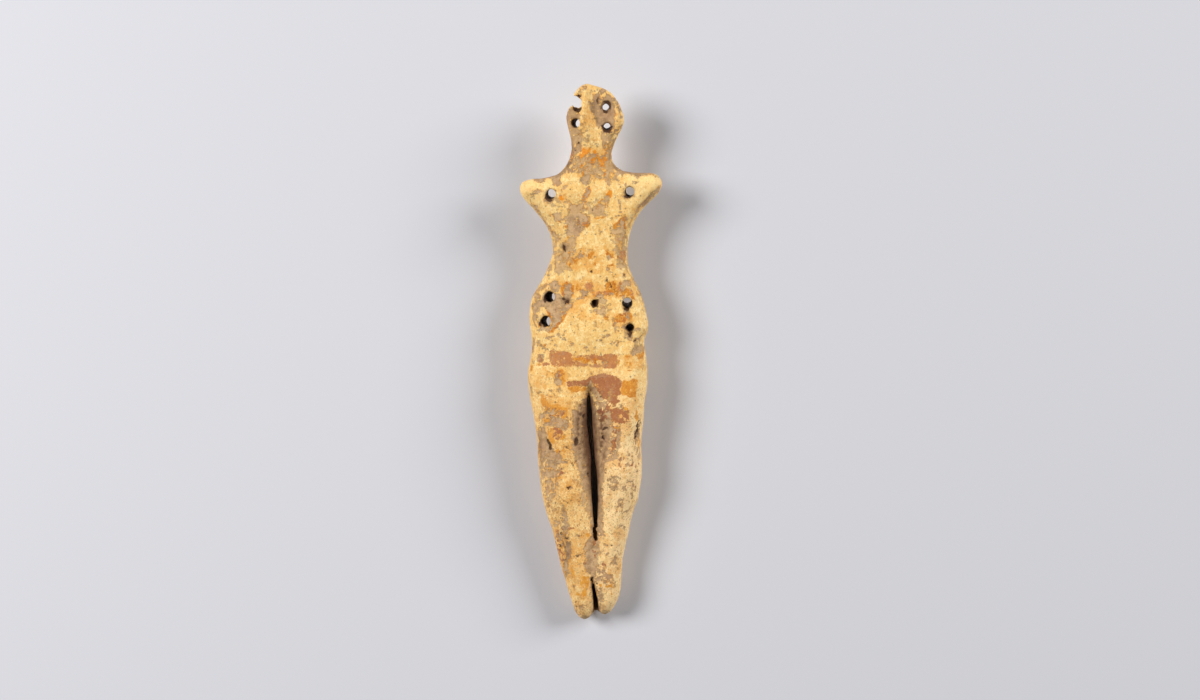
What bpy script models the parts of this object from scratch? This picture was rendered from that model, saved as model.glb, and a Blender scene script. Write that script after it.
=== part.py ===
"""Female figurine of fired clay, lying on its back, modelled as one solid.

The frame: X runs across the shoulders, Y from the feet to the head and Z from the back to the front. The origin is on
the surface that the figure lies on, below the middle of its bounding box. Lengths are in metres.
"""

import math

import bmesh
import bpy
import numpy as np
from mathutils import Matrix, Vector
from mathutils.geometry import delaunay_2d_cdt

# Driving dimensions
FIGURE_LENGTH = 0.180
HEAD_HOLE = 0.0031
SHOULDER_HOLE = 0.0034
HIP_HOLE = 0.0035
NAVEL_WIDTH = 0.0029
NAVEL_DEPTH = 0.0018
LEG_GAP = 0.0022
FOOT_GAP = 0.0017
RESTING_FLAT = 0.00035

# The body is a free form, drawn in 180ths of its length, measured from the middle of the figure. One such unit is a
# millimetre on a figure of the full length.
UNIT = FIGURE_LENGTH / 180

# Outline seen from the front: (x, y), from the top of the head down its right side in the picture and up the left
RIGHT_OUTLINE = (
    (-1.4, 89.05), (1.4, 88.5), (4.2, 87.6), (6.4, 86.3), (8.3, 84.2), (9.8, 81.6),
    (10.8, 78.8), (11.1, 76.6), (10.5, 74.4), (9.1, 71.8), (7.8, 69.2), (7.0, 66.3),
    (7.2, 63.6), (8.6, 61.4), (11.0, 60.1), (14.8, 59.6), (19.0, 59.7), (22.0, 59.0),
    (23.7, 56.8), (23.4, 54.0), (21.6, 51.4), (18.6, 48.6), (15.9, 45.4), (14.0, 42.2),
    (13.0, 38.8), (12.5, 35.0), (12.4, 31.0), (13.0, 27.6), (14.4, 24.2), (16.3, 20.6),
    (17.6, 16.6), (18.6, 12.4), (19.3, 8.6), (18.9, 5.8), (17.9, 3.8), (18.1, 1.0),
    (18.7, -3.0), (19.0, -8.0), (18.8, -13.0), (18.1, -18.5), (17.6, -24.5), (16.9, -29.0),
    (17.1, -36.0), (17.2, -41.0), (16.6, -45.5), (15.5, -50.5), (13.9, -55.5), (12.8, -60.5),
    (11.6, -65.8), (10.6, -71.0), (10.3, -76.5), (10.0, -80.5), (9.1, -84.0), (7.6, -87.0),
    (5.8, -88.9), (4.0, -89.3), (2.7, -88.3),
)
LEFT_OUTLINE = (
    (1.7, -87.6), (0.8, -88.3), (0.0, -89.6), (-1.4, -90.8), (-3.0, -90.95), (-4.5, -89.6),
    (-5.8, -87.2), (-6.9, -83.8), (-8.3, -79.2), (-9.9, -73.6), (-11.3, -67.8), (-12.7, -62.0),
    (-14.2, -57.4), (-15.7, -52.0), (-16.9, -46.5), (-17.6, -41.0), (-17.9, -36.0), (-18.4, -30.0),
    (-19.0, -24.5), (-20.0, -19.0), (-21.0, -14.0), (-21.3, -9.5), (-20.8, -5.0), (-20.0, -1.0),
    (-19.8, 2.5), (-20.2, 6.0), (-20.8, 9.6), (-20.8, 13.2), (-20.0, 17.4), (-18.3, 21.0),
    (-16.2, 24.2), (-14.5, 27.8), (-13.2, 31.2), (-12.7, 34.4), (-13.1, 37.6), (-14.4, 40.8),
    (-16.3, 43.8), (-18.9, 46.9), (-21.6, 49.7), (-23.5, 52.2), (-24.0, 54.7), (-23.0, 56.7),
    (-20.0, 57.5), (-16.4, 57.8), (-13.4, 58.3), (-10.8, 59.3), (-8.9, 61.2), (-7.5, 63.8),
    (-6.7, 66.6), (-6.6, 69.2), (-7.1, 71.8), (-7.9, 74.6), (-8.3, 77.2), (-8.0, 79.6),
    (-7.3, 82.4), (-6.2, 84.8), (-4.7, 87.0), (-3.0, 88.5),
)

# Body along its length: (y, height of the middle layer, half thickness in front, half thickness behind, edge radius)
BODY_STATIONS = (
    (-92.0, 5.2, 4.0, 3.8, 3.6),
    (-86.0, 5.6, 4.9, 4.7, 4.6),
    (-78.0, 6.0, 5.9, 5.9, 5.4),
    (-70.0, 6.4, 6.5, 6.6, 6.0),
    (-60.0, 7.1, 7.1, 6.9, 6.6),
    (-46.0, 8.4, 7.7, 7.4, 7.4),
    (-32.0, 9.3, 8.2, 7.6, 7.6),
    (-18.0, 9.9, 8.5, 7.8, 7.2),
    (-6.0, 10.4, 8.0, 7.6, 6.6),
    (5.0, 11.1, 7.0, 6.9, 5.8),
    (15.0, 12.0, 6.2, 6.2, 5.2),
    (26.0, 13.2, 5.7, 5.6, 5.0),
    (38.0, 14.6, 5.3, 5.2, 4.8),
    (50.0, 16.0, 4.9, 4.8, 4.4),
    (58.0, 17.0, 4.8, 4.6, 4.6),
    (66.0, 18.0, 4.7, 4.4, 5.6),
    (74.0, 19.0, 3.9, 3.7, 3.8),
    (82.0, 20.0, 3.4, 3.4, 3.0),
    (92.0, 21.2, 3.2, 3.2, 3.0),
)

# Line where the two legs meet: (y, x, share of the height that is left on it in front, the same behind)
LEG_SEAM = (
    (-4.0, -0.7, 1.00, 0.96),
    (-10.0, -0.7, 0.96, 0.84),
    (-15.0, -0.7, 0.56, 0.62),
    (-20.0, -0.55, 0.28, 0.52),
    (-26.0, -0.4, 0.18, 0.48),
    (-32.0, 0.25, 0.18, 0.46),
    (-38.0, 0.8, 0.24, 0.46),
    (-46.0, 1.15, 0.36, 0.50),
    (-56.0, 1.45, 0.58, 0.56),
    (-66.0, 1.25, 0.80, 0.60),
    (-76.0, 0.55, 0.78, 0.60),
    (-80.0, 0.75, 0.72, 0.58),
    (-84.0, 1.5, 0.66, 0.56),
    (-91.0, 1.85, 0.60, 0.50),
)
SEAM_RADIUS = 6.6

# Open gap between the thighs, and the groove between the feet: (y, share of the gap's width)
LEG_GAP_STATIONS = (
    (-13.9, 0.24), (-15.0, 0.52), (-17.0, 0.80), (-20.0, 0.98), (-25.0, 1.00), (-30.0, 0.78), (-35.0, 0.70),
    (-40.0, 0.76), (-45.0, 0.88), (-50.0, 0.84), (-55.0, 0.58), (-60.0, 0.44), (-63.6, 0.26),
)
FOOT_GAP_STATIONS = (
    (-76.9, 0.30), (-78.5, 0.66), (-80.0, 0.82), (-82.5, 0.88), (-85.0, 1.12), (-88.0, 1.25), (-93.0, 1.40),
)

# Height of the groove's floor, a web of clay that joins the feet, above the surface that the figure lies on
FOOT_GAP_FLOOR = 6.4

# Nose: (y, x of its crest, height, half width on the left, half width on the right)
NOSE_STATIONS = (
    (91.0, -1.8, 0.4, 1.6, 1.8),
    (87.5, -2.0, 1.4, 1.6, 2.0),
    (84.0, -2.3, 2.4, 1.5, 2.4),
    (81.5, -2.4, 3.2, 1.4, 2.8),
    (78.5, -2.6, 3.8, 1.3, 3.4),
    (75.5, -2.2, 3.6, 1.6, 3.8),
    (72.0, -0.6, 2.2, 2.6, 3.8),
    (68.0, 1.0, 0.9, 3.4, 3.6),
    (64.0, 1.6, 0.0, 3.6, 3.6),
)

# Rounded swellings and hollows: (x, y, reach across, reach along, height); a hollow has a height below zero
FRONT_SWELLINGS = (
    (-1.0, 8.0, 17.0, 15.0, 1.7),
    (-5.2, 53.0, 4.2, 4.4, 0.8),
    (2.8, 53.2, 4.0, 4.2, 0.7),
    (-9.5, -22.0, 8.0, 17.0, 0.5),
    (9.6, -21.0, 8.0, 17.0, 0.5),
    (5.4, 79.0, 4.6, 7.0, -0.6),
    (-6.0, 79.5, 2.8, 5.0, -0.4),
    (-9.6, -49.0, 5.4, 9.0, 0.5),
    (9.6, -41.0, 5.6, 9.0, 0.6),
)
BACK_SWELLINGS = (
    (-9.8, 1.5, 9.6, 15.0, 3.6),
    (9.2, 1.5, 9.4, 15.0, 3.6),
    (-0.8, 3.0, 2.6, 13.0, -1.3),
    (-6.2, -68.0, 4.8, 14.0, 0.7),
    (6.0, -68.0, 4.8, 14.0, 0.7),
    (-1.0, 36.0, 3.4, 22.0, -0.5),
    (-12.0, 50.0, 7.0, 8.0, 0.4),
    (12.0, 50.0, 7.0, 8.0, 0.4),
    (1.0, 79.0, 7.0, 8.0, 0.5),
)

# Edge of the hips where they hang over the thighs: (x, y, how far it stands out)
HIP_FOLD = (
    (-21.0, 5.0, 0.5), (-17.0, 3.4, 0.45), (-12.0, 1.0, 0.2), (-4.0, -2.0, 0.0), (4.0, -2.6, 0.0),
    (10.0, -1.8, 0.2), (13.0, -0.4, 0.7), (15.5, 2.0, 1.0), (17.5, 4.6, 1.1), (20.0, 7.6, 1.1),
)
HIP_FOLD_REACH = 8.0
HIP_FOLD_WIDTH = 0.7

# Piercings: (x, y, x shift at the back, y shift at the back)
HEAD_HOLES = (
    (5.0, 81.0, -0.15, 0.65),
    (5.4, 74.5, -0.1, 1.25),
    (-4.4, 80.9, 0.2, 2.4),
    (-5.2, 75.7, 1.9, 0.35),
)
SHOULDER_HOLES = (
    (-13.4, 52.1, 0.7, 1.2),
    (12.9, 52.8, 0.5, 1.2),
)
HIP_HOLES = (
    (-13.9, 17.9, 2.7, 0.4),
    (-15.1, 9.9, 1.8, 0.0),
    (12.1, 15.6, 0.1, 2.3),
    (13.0, 7.4, 0.0, 4.2),
)
NAVEL = (1.2, 15.9)
NAVEL_FLOOR = 0.7

# Chip broken out of the rim of the head beside the upper left hole: (x, y)
RIM_CHIP = (
    (-3.2, 81.9), (-5.8, 81.8), (-7.2, 80.9), (-8.6, 78.9), (-12.0, 78.6), (-12.0, 86.4),
    (-5.2, 84.8), (-4.0, 84.4), (-3.1, 83.6),
)

# The seat and the heels, which the body rests on, lie beyond these places along it
SEAT_FROM = -25.0
HEELS_FROM = -50.0

# Spacing of the surface's points, in 180ths of the length, finer on the head
OUTLINE_STEP = 1.8
SURFACE_STEP = 2.1
HEAD_STEP = 1.3
HEAD_FROM = 67.0
LEAST_SPACING = 0.38

# Rings along the rim, by how far the rounded edge has turned, and lines along the nose and between the legs, by
# their share of its width
EDGE_ANGLES = (25, 50)
RING_SLACK = 0.92
NOSE_LINES = (-1.0, -0.5, 0.0, 0.5, 1.0)
SEAM_LINES = (-0.62, -0.34, -0.13, 0.0, 0.13, 0.34, 0.62)

CURVE_STEPS = 12
HOLE_SIDES = 14
CUTTER_REACH = 40.0
MERGE_DISTANCE = 1e-5
RIM_TOLERANCE = 1e-3

CLAY_COLOUR = (0.78, 0.60, 0.34, 1.0)
CLAY_ROUGHNESS = 0.85


def clear_scene():
    """Removes every object, so that only the figure is left."""
    for thing in list(bpy.data.objects):
        bpy.data.objects.remove(thing)


def new_collection(name):
    """Returns a new collection linked to the scene."""
    collection = bpy.data.collections.new(name)
    bpy.context.scene.collection.children.link(collection)
    return collection


def eased(table, column, places):
    """Reads a column of a station table at some places by a smooth curve through its rows."""
    rows = np.array(sorted(table), float)
    at, values = rows[:, 0], rows[:, column]
    slopes = np.gradient(values, at)
    places = np.clip(places, at[0], at[-1])
    low = np.clip(np.searchsorted(at, places) - 1, 0, len(at) - 2)
    width = at[low + 1] - at[low]
    t = (places - at[low]) / width
    start = (1 + 2 * t) * (1 - t) ** 2 * values[low] + t * (1 - t) ** 2 * width * slopes[low]
    end = t**2 * (3 - 2 * t) * values[low + 1] + t**2 * (t - 1) * width * slopes[low + 1]
    return start + end


def closed_curve(corners, step):
    """Returns points a step apart on the smooth closed curve through some corners."""
    corners = np.array(corners, float)
    before, after, beyond = (np.roll(corners, turn, axis=0) for turn in (1, -1, -2))
    t = np.linspace(0, 1, CURVE_STEPS, endpoint=False)[:, None, None]
    curve = 0.5 * (
        2 * corners
        + (after - before) * t
        + (2 * before - 5 * corners + 4 * after - beyond) * t**2
        + (3 * corners - before - 3 * after + beyond) * t**3
    )
    fine = curve.transpose(1, 0, 2).reshape(-1, 2)
    loop = np.vstack([fine, fine[:1]])
    run = np.concatenate([[0], np.cumsum(np.linalg.norm(np.diff(loop, axis=0), axis=1))])
    places = np.linspace(0, run[-1], round(run[-1] / step), endpoint=False)
    return np.column_stack([np.interp(places, run, loop[:, axis]) for axis in (0, 1)])


def distance_to(loop, points):
    """Returns how far each point is from a closed line."""
    ahead = np.roll(loop, -1, axis=0) - loop
    offset = points[:, None, :] - loop[None, :, :]
    along = np.clip((offset * ahead).sum(2) / (ahead**2).sum(1), 0, 1)
    return np.linalg.norm(offset - along[:, :, None] * ahead, axis=2).min(1)


def rounded(share):
    """Height of a quarter-round edge at a share of its radius from the edge."""
    return np.sqrt(np.clip(1 - (1 - np.clip(share, 0, 1)) ** 2, 0, 1))


def swellings(table, x, y):
    """Sum of the rounded swellings and hollows of a table."""
    total = np.zeros_like(x)
    for middle_x, middle_y, reach_x, reach_y, height in table:
        near = ((x - middle_x) / reach_x) ** 2 + ((y - middle_y) / reach_y) ** 2
        total += height * np.clip(1 - near, 0, 1) ** 2
    return total


def nose_height(x, y):
    """Height of the pinched nose above the face."""
    crest, height, left, right = (eased(NOSE_STATIONS, column, y) for column in (1, 2, 3, 4))
    side = np.where(x < crest, left, right)
    away = np.clip(np.abs(x - crest) / side, 0, 1)
    inside = (y > NOSE_STATIONS[-1][0]) & (y < NOSE_STATIONS[0][0])
    return np.where(inside, height * (1 - away) ** 2 * (1 + 2 * away), 0)


def hip_fold_height(x, y):
    """Height of the hips' lower edge, which hangs over the thighs by a soft step."""
    above = y - eased(HIP_FOLD, 1, x)
    step = (1 + np.tanh(above / HIP_FOLD_WIDTH)) / 2
    return eased(HIP_FOLD, 2, x) * step * np.clip(1 - above / HIP_FOLD_REACH, 0, 1)


def seam_share(x, y, column):
    """Share of the height that is left near the line between the legs."""
    lowest = eased(LEG_SEAM, column, y)
    away = np.abs(x - eased(LEG_SEAM, 1, y)) / SEAM_RADIUS
    return np.where(y < LEG_SEAM[0][0], lowest + (1 - lowest) * rounded(away), 1)


class Figure:
    """The free form of the body: its outline and the height of its front and back over every place inside."""

    def __init__(self):
        self.outline = closed_curve(RIGHT_OUTLINE + LEFT_OUTLINE, OUTLINE_STEP)
        self.middle = (self.outline.min(axis=0) + self.outline.max(axis=0)) / 2
        self.lift, self.slope = 0.0, 0.0
        self.flat = self.mesh_points()
        self.settle()

    def heights(self, places):
        """Returns the height of the front and of the back surface at some places."""
        x, y = places[:, 0], places[:, 1]
        middle, front, back, radius = (eased(BODY_STATIONS, column, y) for column in (1, 2, 3, 4))
        edge = rounded(distance_to(self.outline, places) / radius)
        relief = swellings(FRONT_SWELLINGS, x, y) + nose_height(x, y) + hip_fold_height(x, y)
        level = middle + self.lift + self.slope * y
        top = level + front * edge * seam_share(x, y, 2) + relief * edge
        bottom = level - back * edge * seam_share(x, y, 3) - swellings(BACK_SWELLINGS, x, y) * edge
        return top, bottom

    def settle(self):
        """Tips and lifts the body so that its seat and its heels reach just below the surface it lies on."""
        _, bottom = self.heights(self.flat)
        y = self.flat[:, 1]
        lowest = []
        for part in (y > SEAT_FROM, y < HEELS_FROM):
            index = np.flatnonzero(part)[bottom[part].argmin()]
            lowest.append((y[index], bottom[index]))
        (seat_y, seat_z), (heel_y, heel_z) = lowest
        self.slope = -(seat_z - heel_z) / (seat_y - heel_y)
        self.lift = -RESTING_FLAT / UNIT - seat_z - self.slope * seat_y

    def mesh_points(self):
        """Returns the points of the surface: the outline, rings along it, lines of relief and an even field."""
        ahead = np.roll(self.outline, -1, axis=0) - np.roll(self.outline, 1, axis=0)
        inward = np.column_stack([ahead[:, 1], -ahead[:, 0]]) / np.linalg.norm(ahead, axis=1)[:, None]
        wanted = [self.clear_of_rim(relief_lines(), EDGE_ANGLES[0], 0)]
        for angle in EDGE_ANGLES:
            ring = self.outline + inward * edge_inset(self.outline, angle)[:, None]
            wanted.append(self.clear_of_rim(ring, angle, 0))
        field = even_field(self.outline.min(axis=0), self.outline.max(axis=0))
        wanted.append(self.clear_of_rim(field, EDGE_ANGLES[-1], LEAST_SPACING))
        return np.vstack([self.outline, thinned(np.vstack(wanted))])

    def clear_of_rim(self, places, angle, further):
        """Keeps the places that lie inside of a ring along the rim, and further in by a share of the spacing."""
        nearest = RING_SLACK * edge_inset(places, angle) + further * spacing(places[:, 1])
        return places[inside_of(self.outline, places) & (distance_to(self.outline, places) > nearest)]


def edge_inset(places, angle):
    """How far in from the rim the rounded edge has turned by an angle."""
    return eased(BODY_STATIONS, 4, places[:, 1]) * (1 - math.cos(math.radians(angle)))


def relief_lines():
    """Returns points along the nose's crest and feet and along the line between the legs."""
    nose_y = np.arange(NOSE_STATIONS[-2][0], NOSE_STATIONS[0][0], HEAD_STEP)
    crest, left, right = (eased(NOSE_STATIONS, column, nose_y) for column in (1, 3, 4))
    seam_y = np.arange(LEG_SEAM[-1][0], LEG_SEAM[1][0], SURFACE_STEP)
    seam = eased(LEG_SEAM, 1, seam_y)
    lines = [(crest + share * (right if share > 0 else left), nose_y) for share in NOSE_LINES]
    lines += [(seam + share * SEAM_RADIUS, seam_y) for share in SEAM_LINES]
    return np.vstack([np.column_stack(line) for line in lines])


def even_field(low, high):
    """Returns staggered rows of points over a rectangle, closer together on the head."""
    field = []
    row_y, row = low[1], 0
    while row_y < high[1]:
        step = float(spacing(row_y))
        start = low[0] + (row % 2) * step / 2
        field.extend((place, row_y) for place in np.arange(start, high[0], step))
        row_y += step * math.sqrt(3) / 2
        row += 1
    return np.array(field)


def spacing(y):
    """Distance between the points of the surface at a height on the body."""
    return np.where(y > HEAD_FROM, HEAD_STEP, SURFACE_STEP)


def inside_of(loop, points):
    """Tells which points a closed line goes round."""
    start, end = loop, np.roll(loop, -1, axis=0)
    x, y = points[:, 0, None], points[:, 1, None]
    crosses = (start[:, 1] > y) != (end[:, 1] > y)
    rise = np.where(end[:, 1] == start[:, 1], 1, end[:, 1] - start[:, 1])
    at = start[:, 0] + (y - start[:, 1]) * (end[:, 0] - start[:, 0]) / rise
    return (crosses & (x < at)).sum(1) % 2 == 1


def thinned(points):
    """Leaves out each point that lies too close to an earlier one."""
    kept = np.empty_like(points)
    count = 0
    for point in points:
        gaps = np.linalg.norm(kept[:count] - point, axis=1)
        if not count or gaps.min() > LEAST_SPACING * spacing(point[1]):
            kept[count] = point
            count += 1
    return kept[:count]


def body_mesh(figure):
    """Builds the closed skin of the body: a front and a back surface that share the outline."""
    ring = list(range(len(figure.outline)))
    corners = [Vector(place) for place in figure.flat]
    places, _, faces, _, _, _ = delaunay_2d_cdt(corners, [], [ring], 1, MERGE_DISTANCE)
    places = np.array([tuple(place) for place in places])
    top, bottom = figure.heights(places)
    on_rim = distance_to(figure.outline, places) < RIM_TOLERANCE

    mesh = bmesh.new()
    front, back = [], []
    for (x, y), high, low, shared in zip(places, top, bottom, on_rim):
        front.append(mesh.verts.new(Vector((x, y, high)) * UNIT))
        back.append(front[-1] if shared else mesh.verts.new(Vector((x, y, low)) * UNIT))
    for face in faces:
        mesh.faces.new([front[corner] for corner in face])
        mesh.faces.new([back[corner] for corner in reversed(face)])
    bmesh.ops.recalc_face_normals(mesh, faces=mesh.faces)
    return mesh


def add_object(mesh, name, collection):
    """Turns a bmesh into an object of a collection."""
    data = bpy.data.meshes.new(name)
    mesh.to_mesh(data)
    mesh.free()
    thing = bpy.data.objects.new(name, data)
    collection.objects.link(thing)
    return thing


def hidden_cutter(mesh, name, collection):
    """Makes a cutter: it shapes the figure and isn't part of it."""
    cutter = add_object(mesh, name, collection)
    cutter.hide_render = True
    cutter.display_type = "WIRE"
    return cutter


def cut(body, cutter):
    """Takes a cutter's shape out of the body."""
    boolean = body.modifiers.new(cutter.name, "BOOLEAN")
    boolean.operation = "DIFFERENCE"
    boolean.object = cutter


def piercing(figure, width, place, name, collection):
    """Makes a slanted round cutter that enters at a place in front and leaves at a shifted place behind."""
    x, y, shift_x, shift_y = place
    top, bottom = figure.heights(np.array([[x, y]]))
    enters = Vector((x, y, top[0]))
    leaves = Vector((x + shift_x, y + shift_y, bottom[0]))
    mesh = bmesh.new()
    bmesh.ops.create_cone(
        mesh, cap_ends=True, segments=HOLE_SIDES, radius1=width / 2, radius2=width / 2, depth=CUTTER_REACH * UNIT
    )
    turn = Vector((0, 0, 1)).rotation_difference(enters - leaves).to_matrix().to_4x4()
    mesh.transform(Matrix.Translation((enters + leaves) / 2 * UNIT) @ turn)
    return hidden_cutter(mesh, name, collection)


def slab_cutter(corners, name, collection, floor=-CUTTER_REACH):
    """Makes a cutter that stands upright over a flat outline, through the whole body or down to a floor."""
    mesh = bmesh.new()
    base = [mesh.verts.new(Vector((x, y, floor)) * UNIT) for x, y in corners]
    raised = bmesh.ops.extrude_face_region(mesh, geom=[mesh.faces.new(base)])
    moved = [part for part in raised["geom"] if isinstance(part, bmesh.types.BMVert)]
    bmesh.ops.translate(mesh, verts=moved, vec=Vector((0, 0, CUTTER_REACH - floor)) * UNIT)
    bmesh.ops.recalc_face_normals(mesh, faces=mesh.faces)
    return hidden_cutter(mesh, name, collection)


def gap_outline(stations, width):
    """Returns the outline of a gap that follows the line between the legs."""
    y = np.array([row[0] for row in stations])
    half = np.array([row[1] for row in stations]) * width / UNIT / 2
    seam = eased(LEG_SEAM, 1, y)
    return list(zip(seam - half, y)) + list(zip(seam + half, y))[::-1]


def navel_cutter(figure, collection):
    """Makes the cutter of the navel, a blind pit that narrows inwards."""
    surface, _ = figure.heights(np.array([NAVEL]))
    mesh = bmesh.new()
    bmesh.ops.create_cone(
        mesh, cap_ends=True, segments=HOLE_SIDES, radius1=NAVEL_FLOOR * NAVEL_WIDTH / 2,
        radius2=NAVEL_WIDTH / 2, depth=2 * NAVEL_DEPTH,
    )
    mesh.transform(Matrix.Translation(Vector((*NAVEL, surface[0])) * UNIT))
    return hidden_cutter(mesh, "navel_pit", collection)


def resting_plane(collection):
    """Makes the block below the surface that the figure lies on: it leaves small flat spots where the body rests."""
    mesh = bmesh.new()
    bmesh.ops.create_cube(mesh, size=1)
    size = Vector((2 * FIGURE_LENGTH, 2 * FIGURE_LENGTH, CUTTER_REACH * UNIT))
    mesh.transform(Matrix.Translation((0, 0, -size.z / 2)) @ Matrix.Diagonal(size).to_4x4())
    return hidden_cutter(mesh, "resting_plane", collection)


def make_cutters(figure, collection):
    """Makes the cutters: piercings, navel, gaps between the legs, the rim's chip and the plane of the flat spots."""
    piercings = (
        ("head_hole", HEAD_HOLE, HEAD_HOLES),
        ("shoulder_hole", SHOULDER_HOLE, SHOULDER_HOLES),
        ("hip_hole", HIP_HOLE, HIP_HOLES),
    )
    cutters = []
    for name, width, places in piercings:
        for number, place in enumerate(places, start=1):
            cutters.append(piercing(figure, width, place, f"{name}_{number}", collection))
    cutters.append(slab_cutter(RIM_CHIP, "rim_chip", collection))
    cutters.append(slab_cutter(gap_outline(LEG_GAP_STATIONS, LEG_GAP), "leg_gap", collection))
    foot_gap = gap_outline(FOOT_GAP_STATIONS, FOOT_GAP)
    cutters.append(slab_cutter(foot_gap, "foot_gap", collection, FOOT_GAP_FLOOR))
    cutters.append(navel_cutter(figure, collection))
    cutters.append(resting_plane(collection))
    return cutters


def clay_material():
    """Returns the cream slip over fired clay."""
    material = bpy.data.materials.new("slipped_clay")
    material.use_nodes = True
    shader = material.node_tree.nodes["Principled BSDF"]
    shader.inputs["Base Color"].default_value = CLAY_COLOUR
    shader.inputs["Roughness"].default_value = CLAY_ROUGHNESS
    shader.inputs["Metallic"].default_value = 0.0
    return material


def main():
    """Builds the figurine."""
    clear_scene()
    parts = new_collection("female_figurine")
    tools = new_collection("cutters")
    figure = Figure()
    figurine = add_object(body_mesh(figure), "figurine", parts)
    figurine.data.materials.append(clay_material())
    figurine.data.shade_smooth()
    cutters = make_cutters(figure, tools)
    for cutter in cutters:
        cut(figurine, cutter)

    # One empty puts the middle of the figure above the origin
    place = bpy.data.objects.new("place", None)
    place.location = (-figure.middle[0] * UNIT, -figure.middle[1] * UNIT, 0)
    parts.objects.link(place)
    for thing in (figurine, *cutters):
        thing.parent = place


main()
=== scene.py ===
import logging
import math
import random
from dataclasses import dataclass, field
from enum import Enum
from typing import Any

import bmesh
import bpy
import numpy as np
from mathutils import Matrix, Vector, noise
from mathutils.bvhtree import BVHTree


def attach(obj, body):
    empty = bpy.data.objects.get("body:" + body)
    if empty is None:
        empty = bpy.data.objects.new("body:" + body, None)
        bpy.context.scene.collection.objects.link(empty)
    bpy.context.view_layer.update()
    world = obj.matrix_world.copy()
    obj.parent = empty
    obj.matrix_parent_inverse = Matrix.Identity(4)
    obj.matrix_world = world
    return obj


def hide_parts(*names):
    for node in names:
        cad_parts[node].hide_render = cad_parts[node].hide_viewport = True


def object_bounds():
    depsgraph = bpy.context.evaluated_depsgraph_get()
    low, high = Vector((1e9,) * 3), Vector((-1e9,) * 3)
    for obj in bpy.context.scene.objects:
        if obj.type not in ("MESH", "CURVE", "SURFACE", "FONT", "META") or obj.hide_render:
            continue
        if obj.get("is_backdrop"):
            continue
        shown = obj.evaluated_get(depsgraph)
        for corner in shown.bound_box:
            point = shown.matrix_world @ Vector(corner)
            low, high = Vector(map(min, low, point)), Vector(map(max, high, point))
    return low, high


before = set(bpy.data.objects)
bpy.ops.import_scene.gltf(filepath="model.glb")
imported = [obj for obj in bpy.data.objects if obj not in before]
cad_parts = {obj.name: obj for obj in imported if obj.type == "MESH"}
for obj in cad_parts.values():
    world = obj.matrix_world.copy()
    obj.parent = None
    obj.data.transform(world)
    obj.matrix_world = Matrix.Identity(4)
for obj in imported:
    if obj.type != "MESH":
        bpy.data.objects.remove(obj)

LOG = logging.getLogger("figurine")
MM = 0.001
CAD_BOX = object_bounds()


class Layer(Enum):
    """What the surface shows where a mark is drawn. A layer also makes its own marks."""

    BARE = "bare"
    OCHRE = "ochre"
    RED = "red"
    THIN = "thin"
    STAIN = "stain"
    # Earth in low places, multiplied over the colour; its marks at the holes, the sides of the neck and along
    # the leg gap are painted shade.
    SOIL_AND_SHADE = "soil_and_shade"
    SLIP = "slip"

    def __call__(self, x: float, y: float, wide: float, tall: float, turn: float = 0,
                 cover: float = 1) -> "Blot":
        """An oval mark of this layer."""
        return Blot(self, x, y, wide, tall, turn, cover)

    def field(self, *outline: float, cover: float = 1) -> "Field":
        """A mark of this layer inside an outline, whose corners come as x and y in turn."""
        return Field(self, tuple(zip(outline[::2], outline[1::2])), cover)


BARE, OCHRE, RED, THIN, STAIN, SOIL_AND_SHADE, SLIP = Layer
HARD_LAYERS = (BARE, OCHRE, RED)
SOFT_LAYERS = (THIN, STAIN, SOIL_AND_SHADE)
# How far from a mark's edge is still told apart, and how far a mark laps over its neighbour, in millimetres.
FARTHEST = 2.5
OVERLAP = 0.12


@dataclass(frozen=True)
class Blot:
    """An oval mark, in millimetres as the front of the figurine shows it.

    Its cover is the share of it that is whole. The rest has crumbled away.
    """

    layer: Layer
    x: float
    y: float
    wide: float
    tall: float
    turn: float = 0.0
    cover: float = 1.0

    def depth(self, places: np.ndarray) -> np.ndarray:
        """How far inside the mark each place lies.

        Args:
            places: two columns, in the plane of the readings.

        Returns:
            Millimetres, below nothing outside the mark.
        """
        angle = math.radians(self.turn)
        off = places - (self.x, self.y)
        across = off @ (math.cos(angle), math.sin(angle)) / (self.wide / 2)
        along = off @ (-math.sin(angle), math.cos(angle)) / (self.tall / 2)
        return (1.0 - np.hypot(across, along)) * min(self.wide, self.tall) / 2


@dataclass(frozen=True)
class Field:
    """A mark with an outline of its own."""

    layer: Layer
    points: tuple[tuple[float, float], ...]
    cover: float = 1.0

    def depth(self, places: np.ndarray) -> np.ndarray:
        """How far inside the outline each place lies.

        Args:
            places: two columns, in the plane of the readings.

        Returns:
            Millimetres, below nothing outside the outline.
        """
        corners = np.array(self.points, float)
        nearest = np.full(len(places), np.inf)
        inside = np.zeros(len(places), bool)
        for start, end in zip(corners, np.roll(corners, -1, axis=0)):
            edge = end - start
            off = places - start
            share = np.clip(off @ edge / (edge @ edge), 0.0, 1.0)
            gap = off - share[:, None] * edge
            nearest = np.minimum(nearest, np.hypot(gap[:, 0], gap[:, 1]))
            if edge[1]:
                crosses = (start[1] > places[:, 1]) != (end[1] > places[:, 1])
                inside ^= crosses & (off[:, 0] < off[:, 1] * edge[0] / edge[1])
        return np.where(inside, nearest, -nearest)


@dataclass(frozen=True)
class Pit:
    """A pore, pit or scratch that goes down into the clay."""

    x: float
    y: float
    wide: float
    tall: float
    turn: float = 0.0
    deep: float = 0.3

    @property
    def half(self) -> float:
        """Half of its lesser width."""
        return min(self.wide, self.tall) / 2

    def depth(self, places: np.ndarray) -> np.ndarray:
        """How far inside the pit's mouth each place lies, in millimetres."""
        return BARE(self.x, self.y, self.wide, self.tall, self.turn).depth(places)


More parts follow.
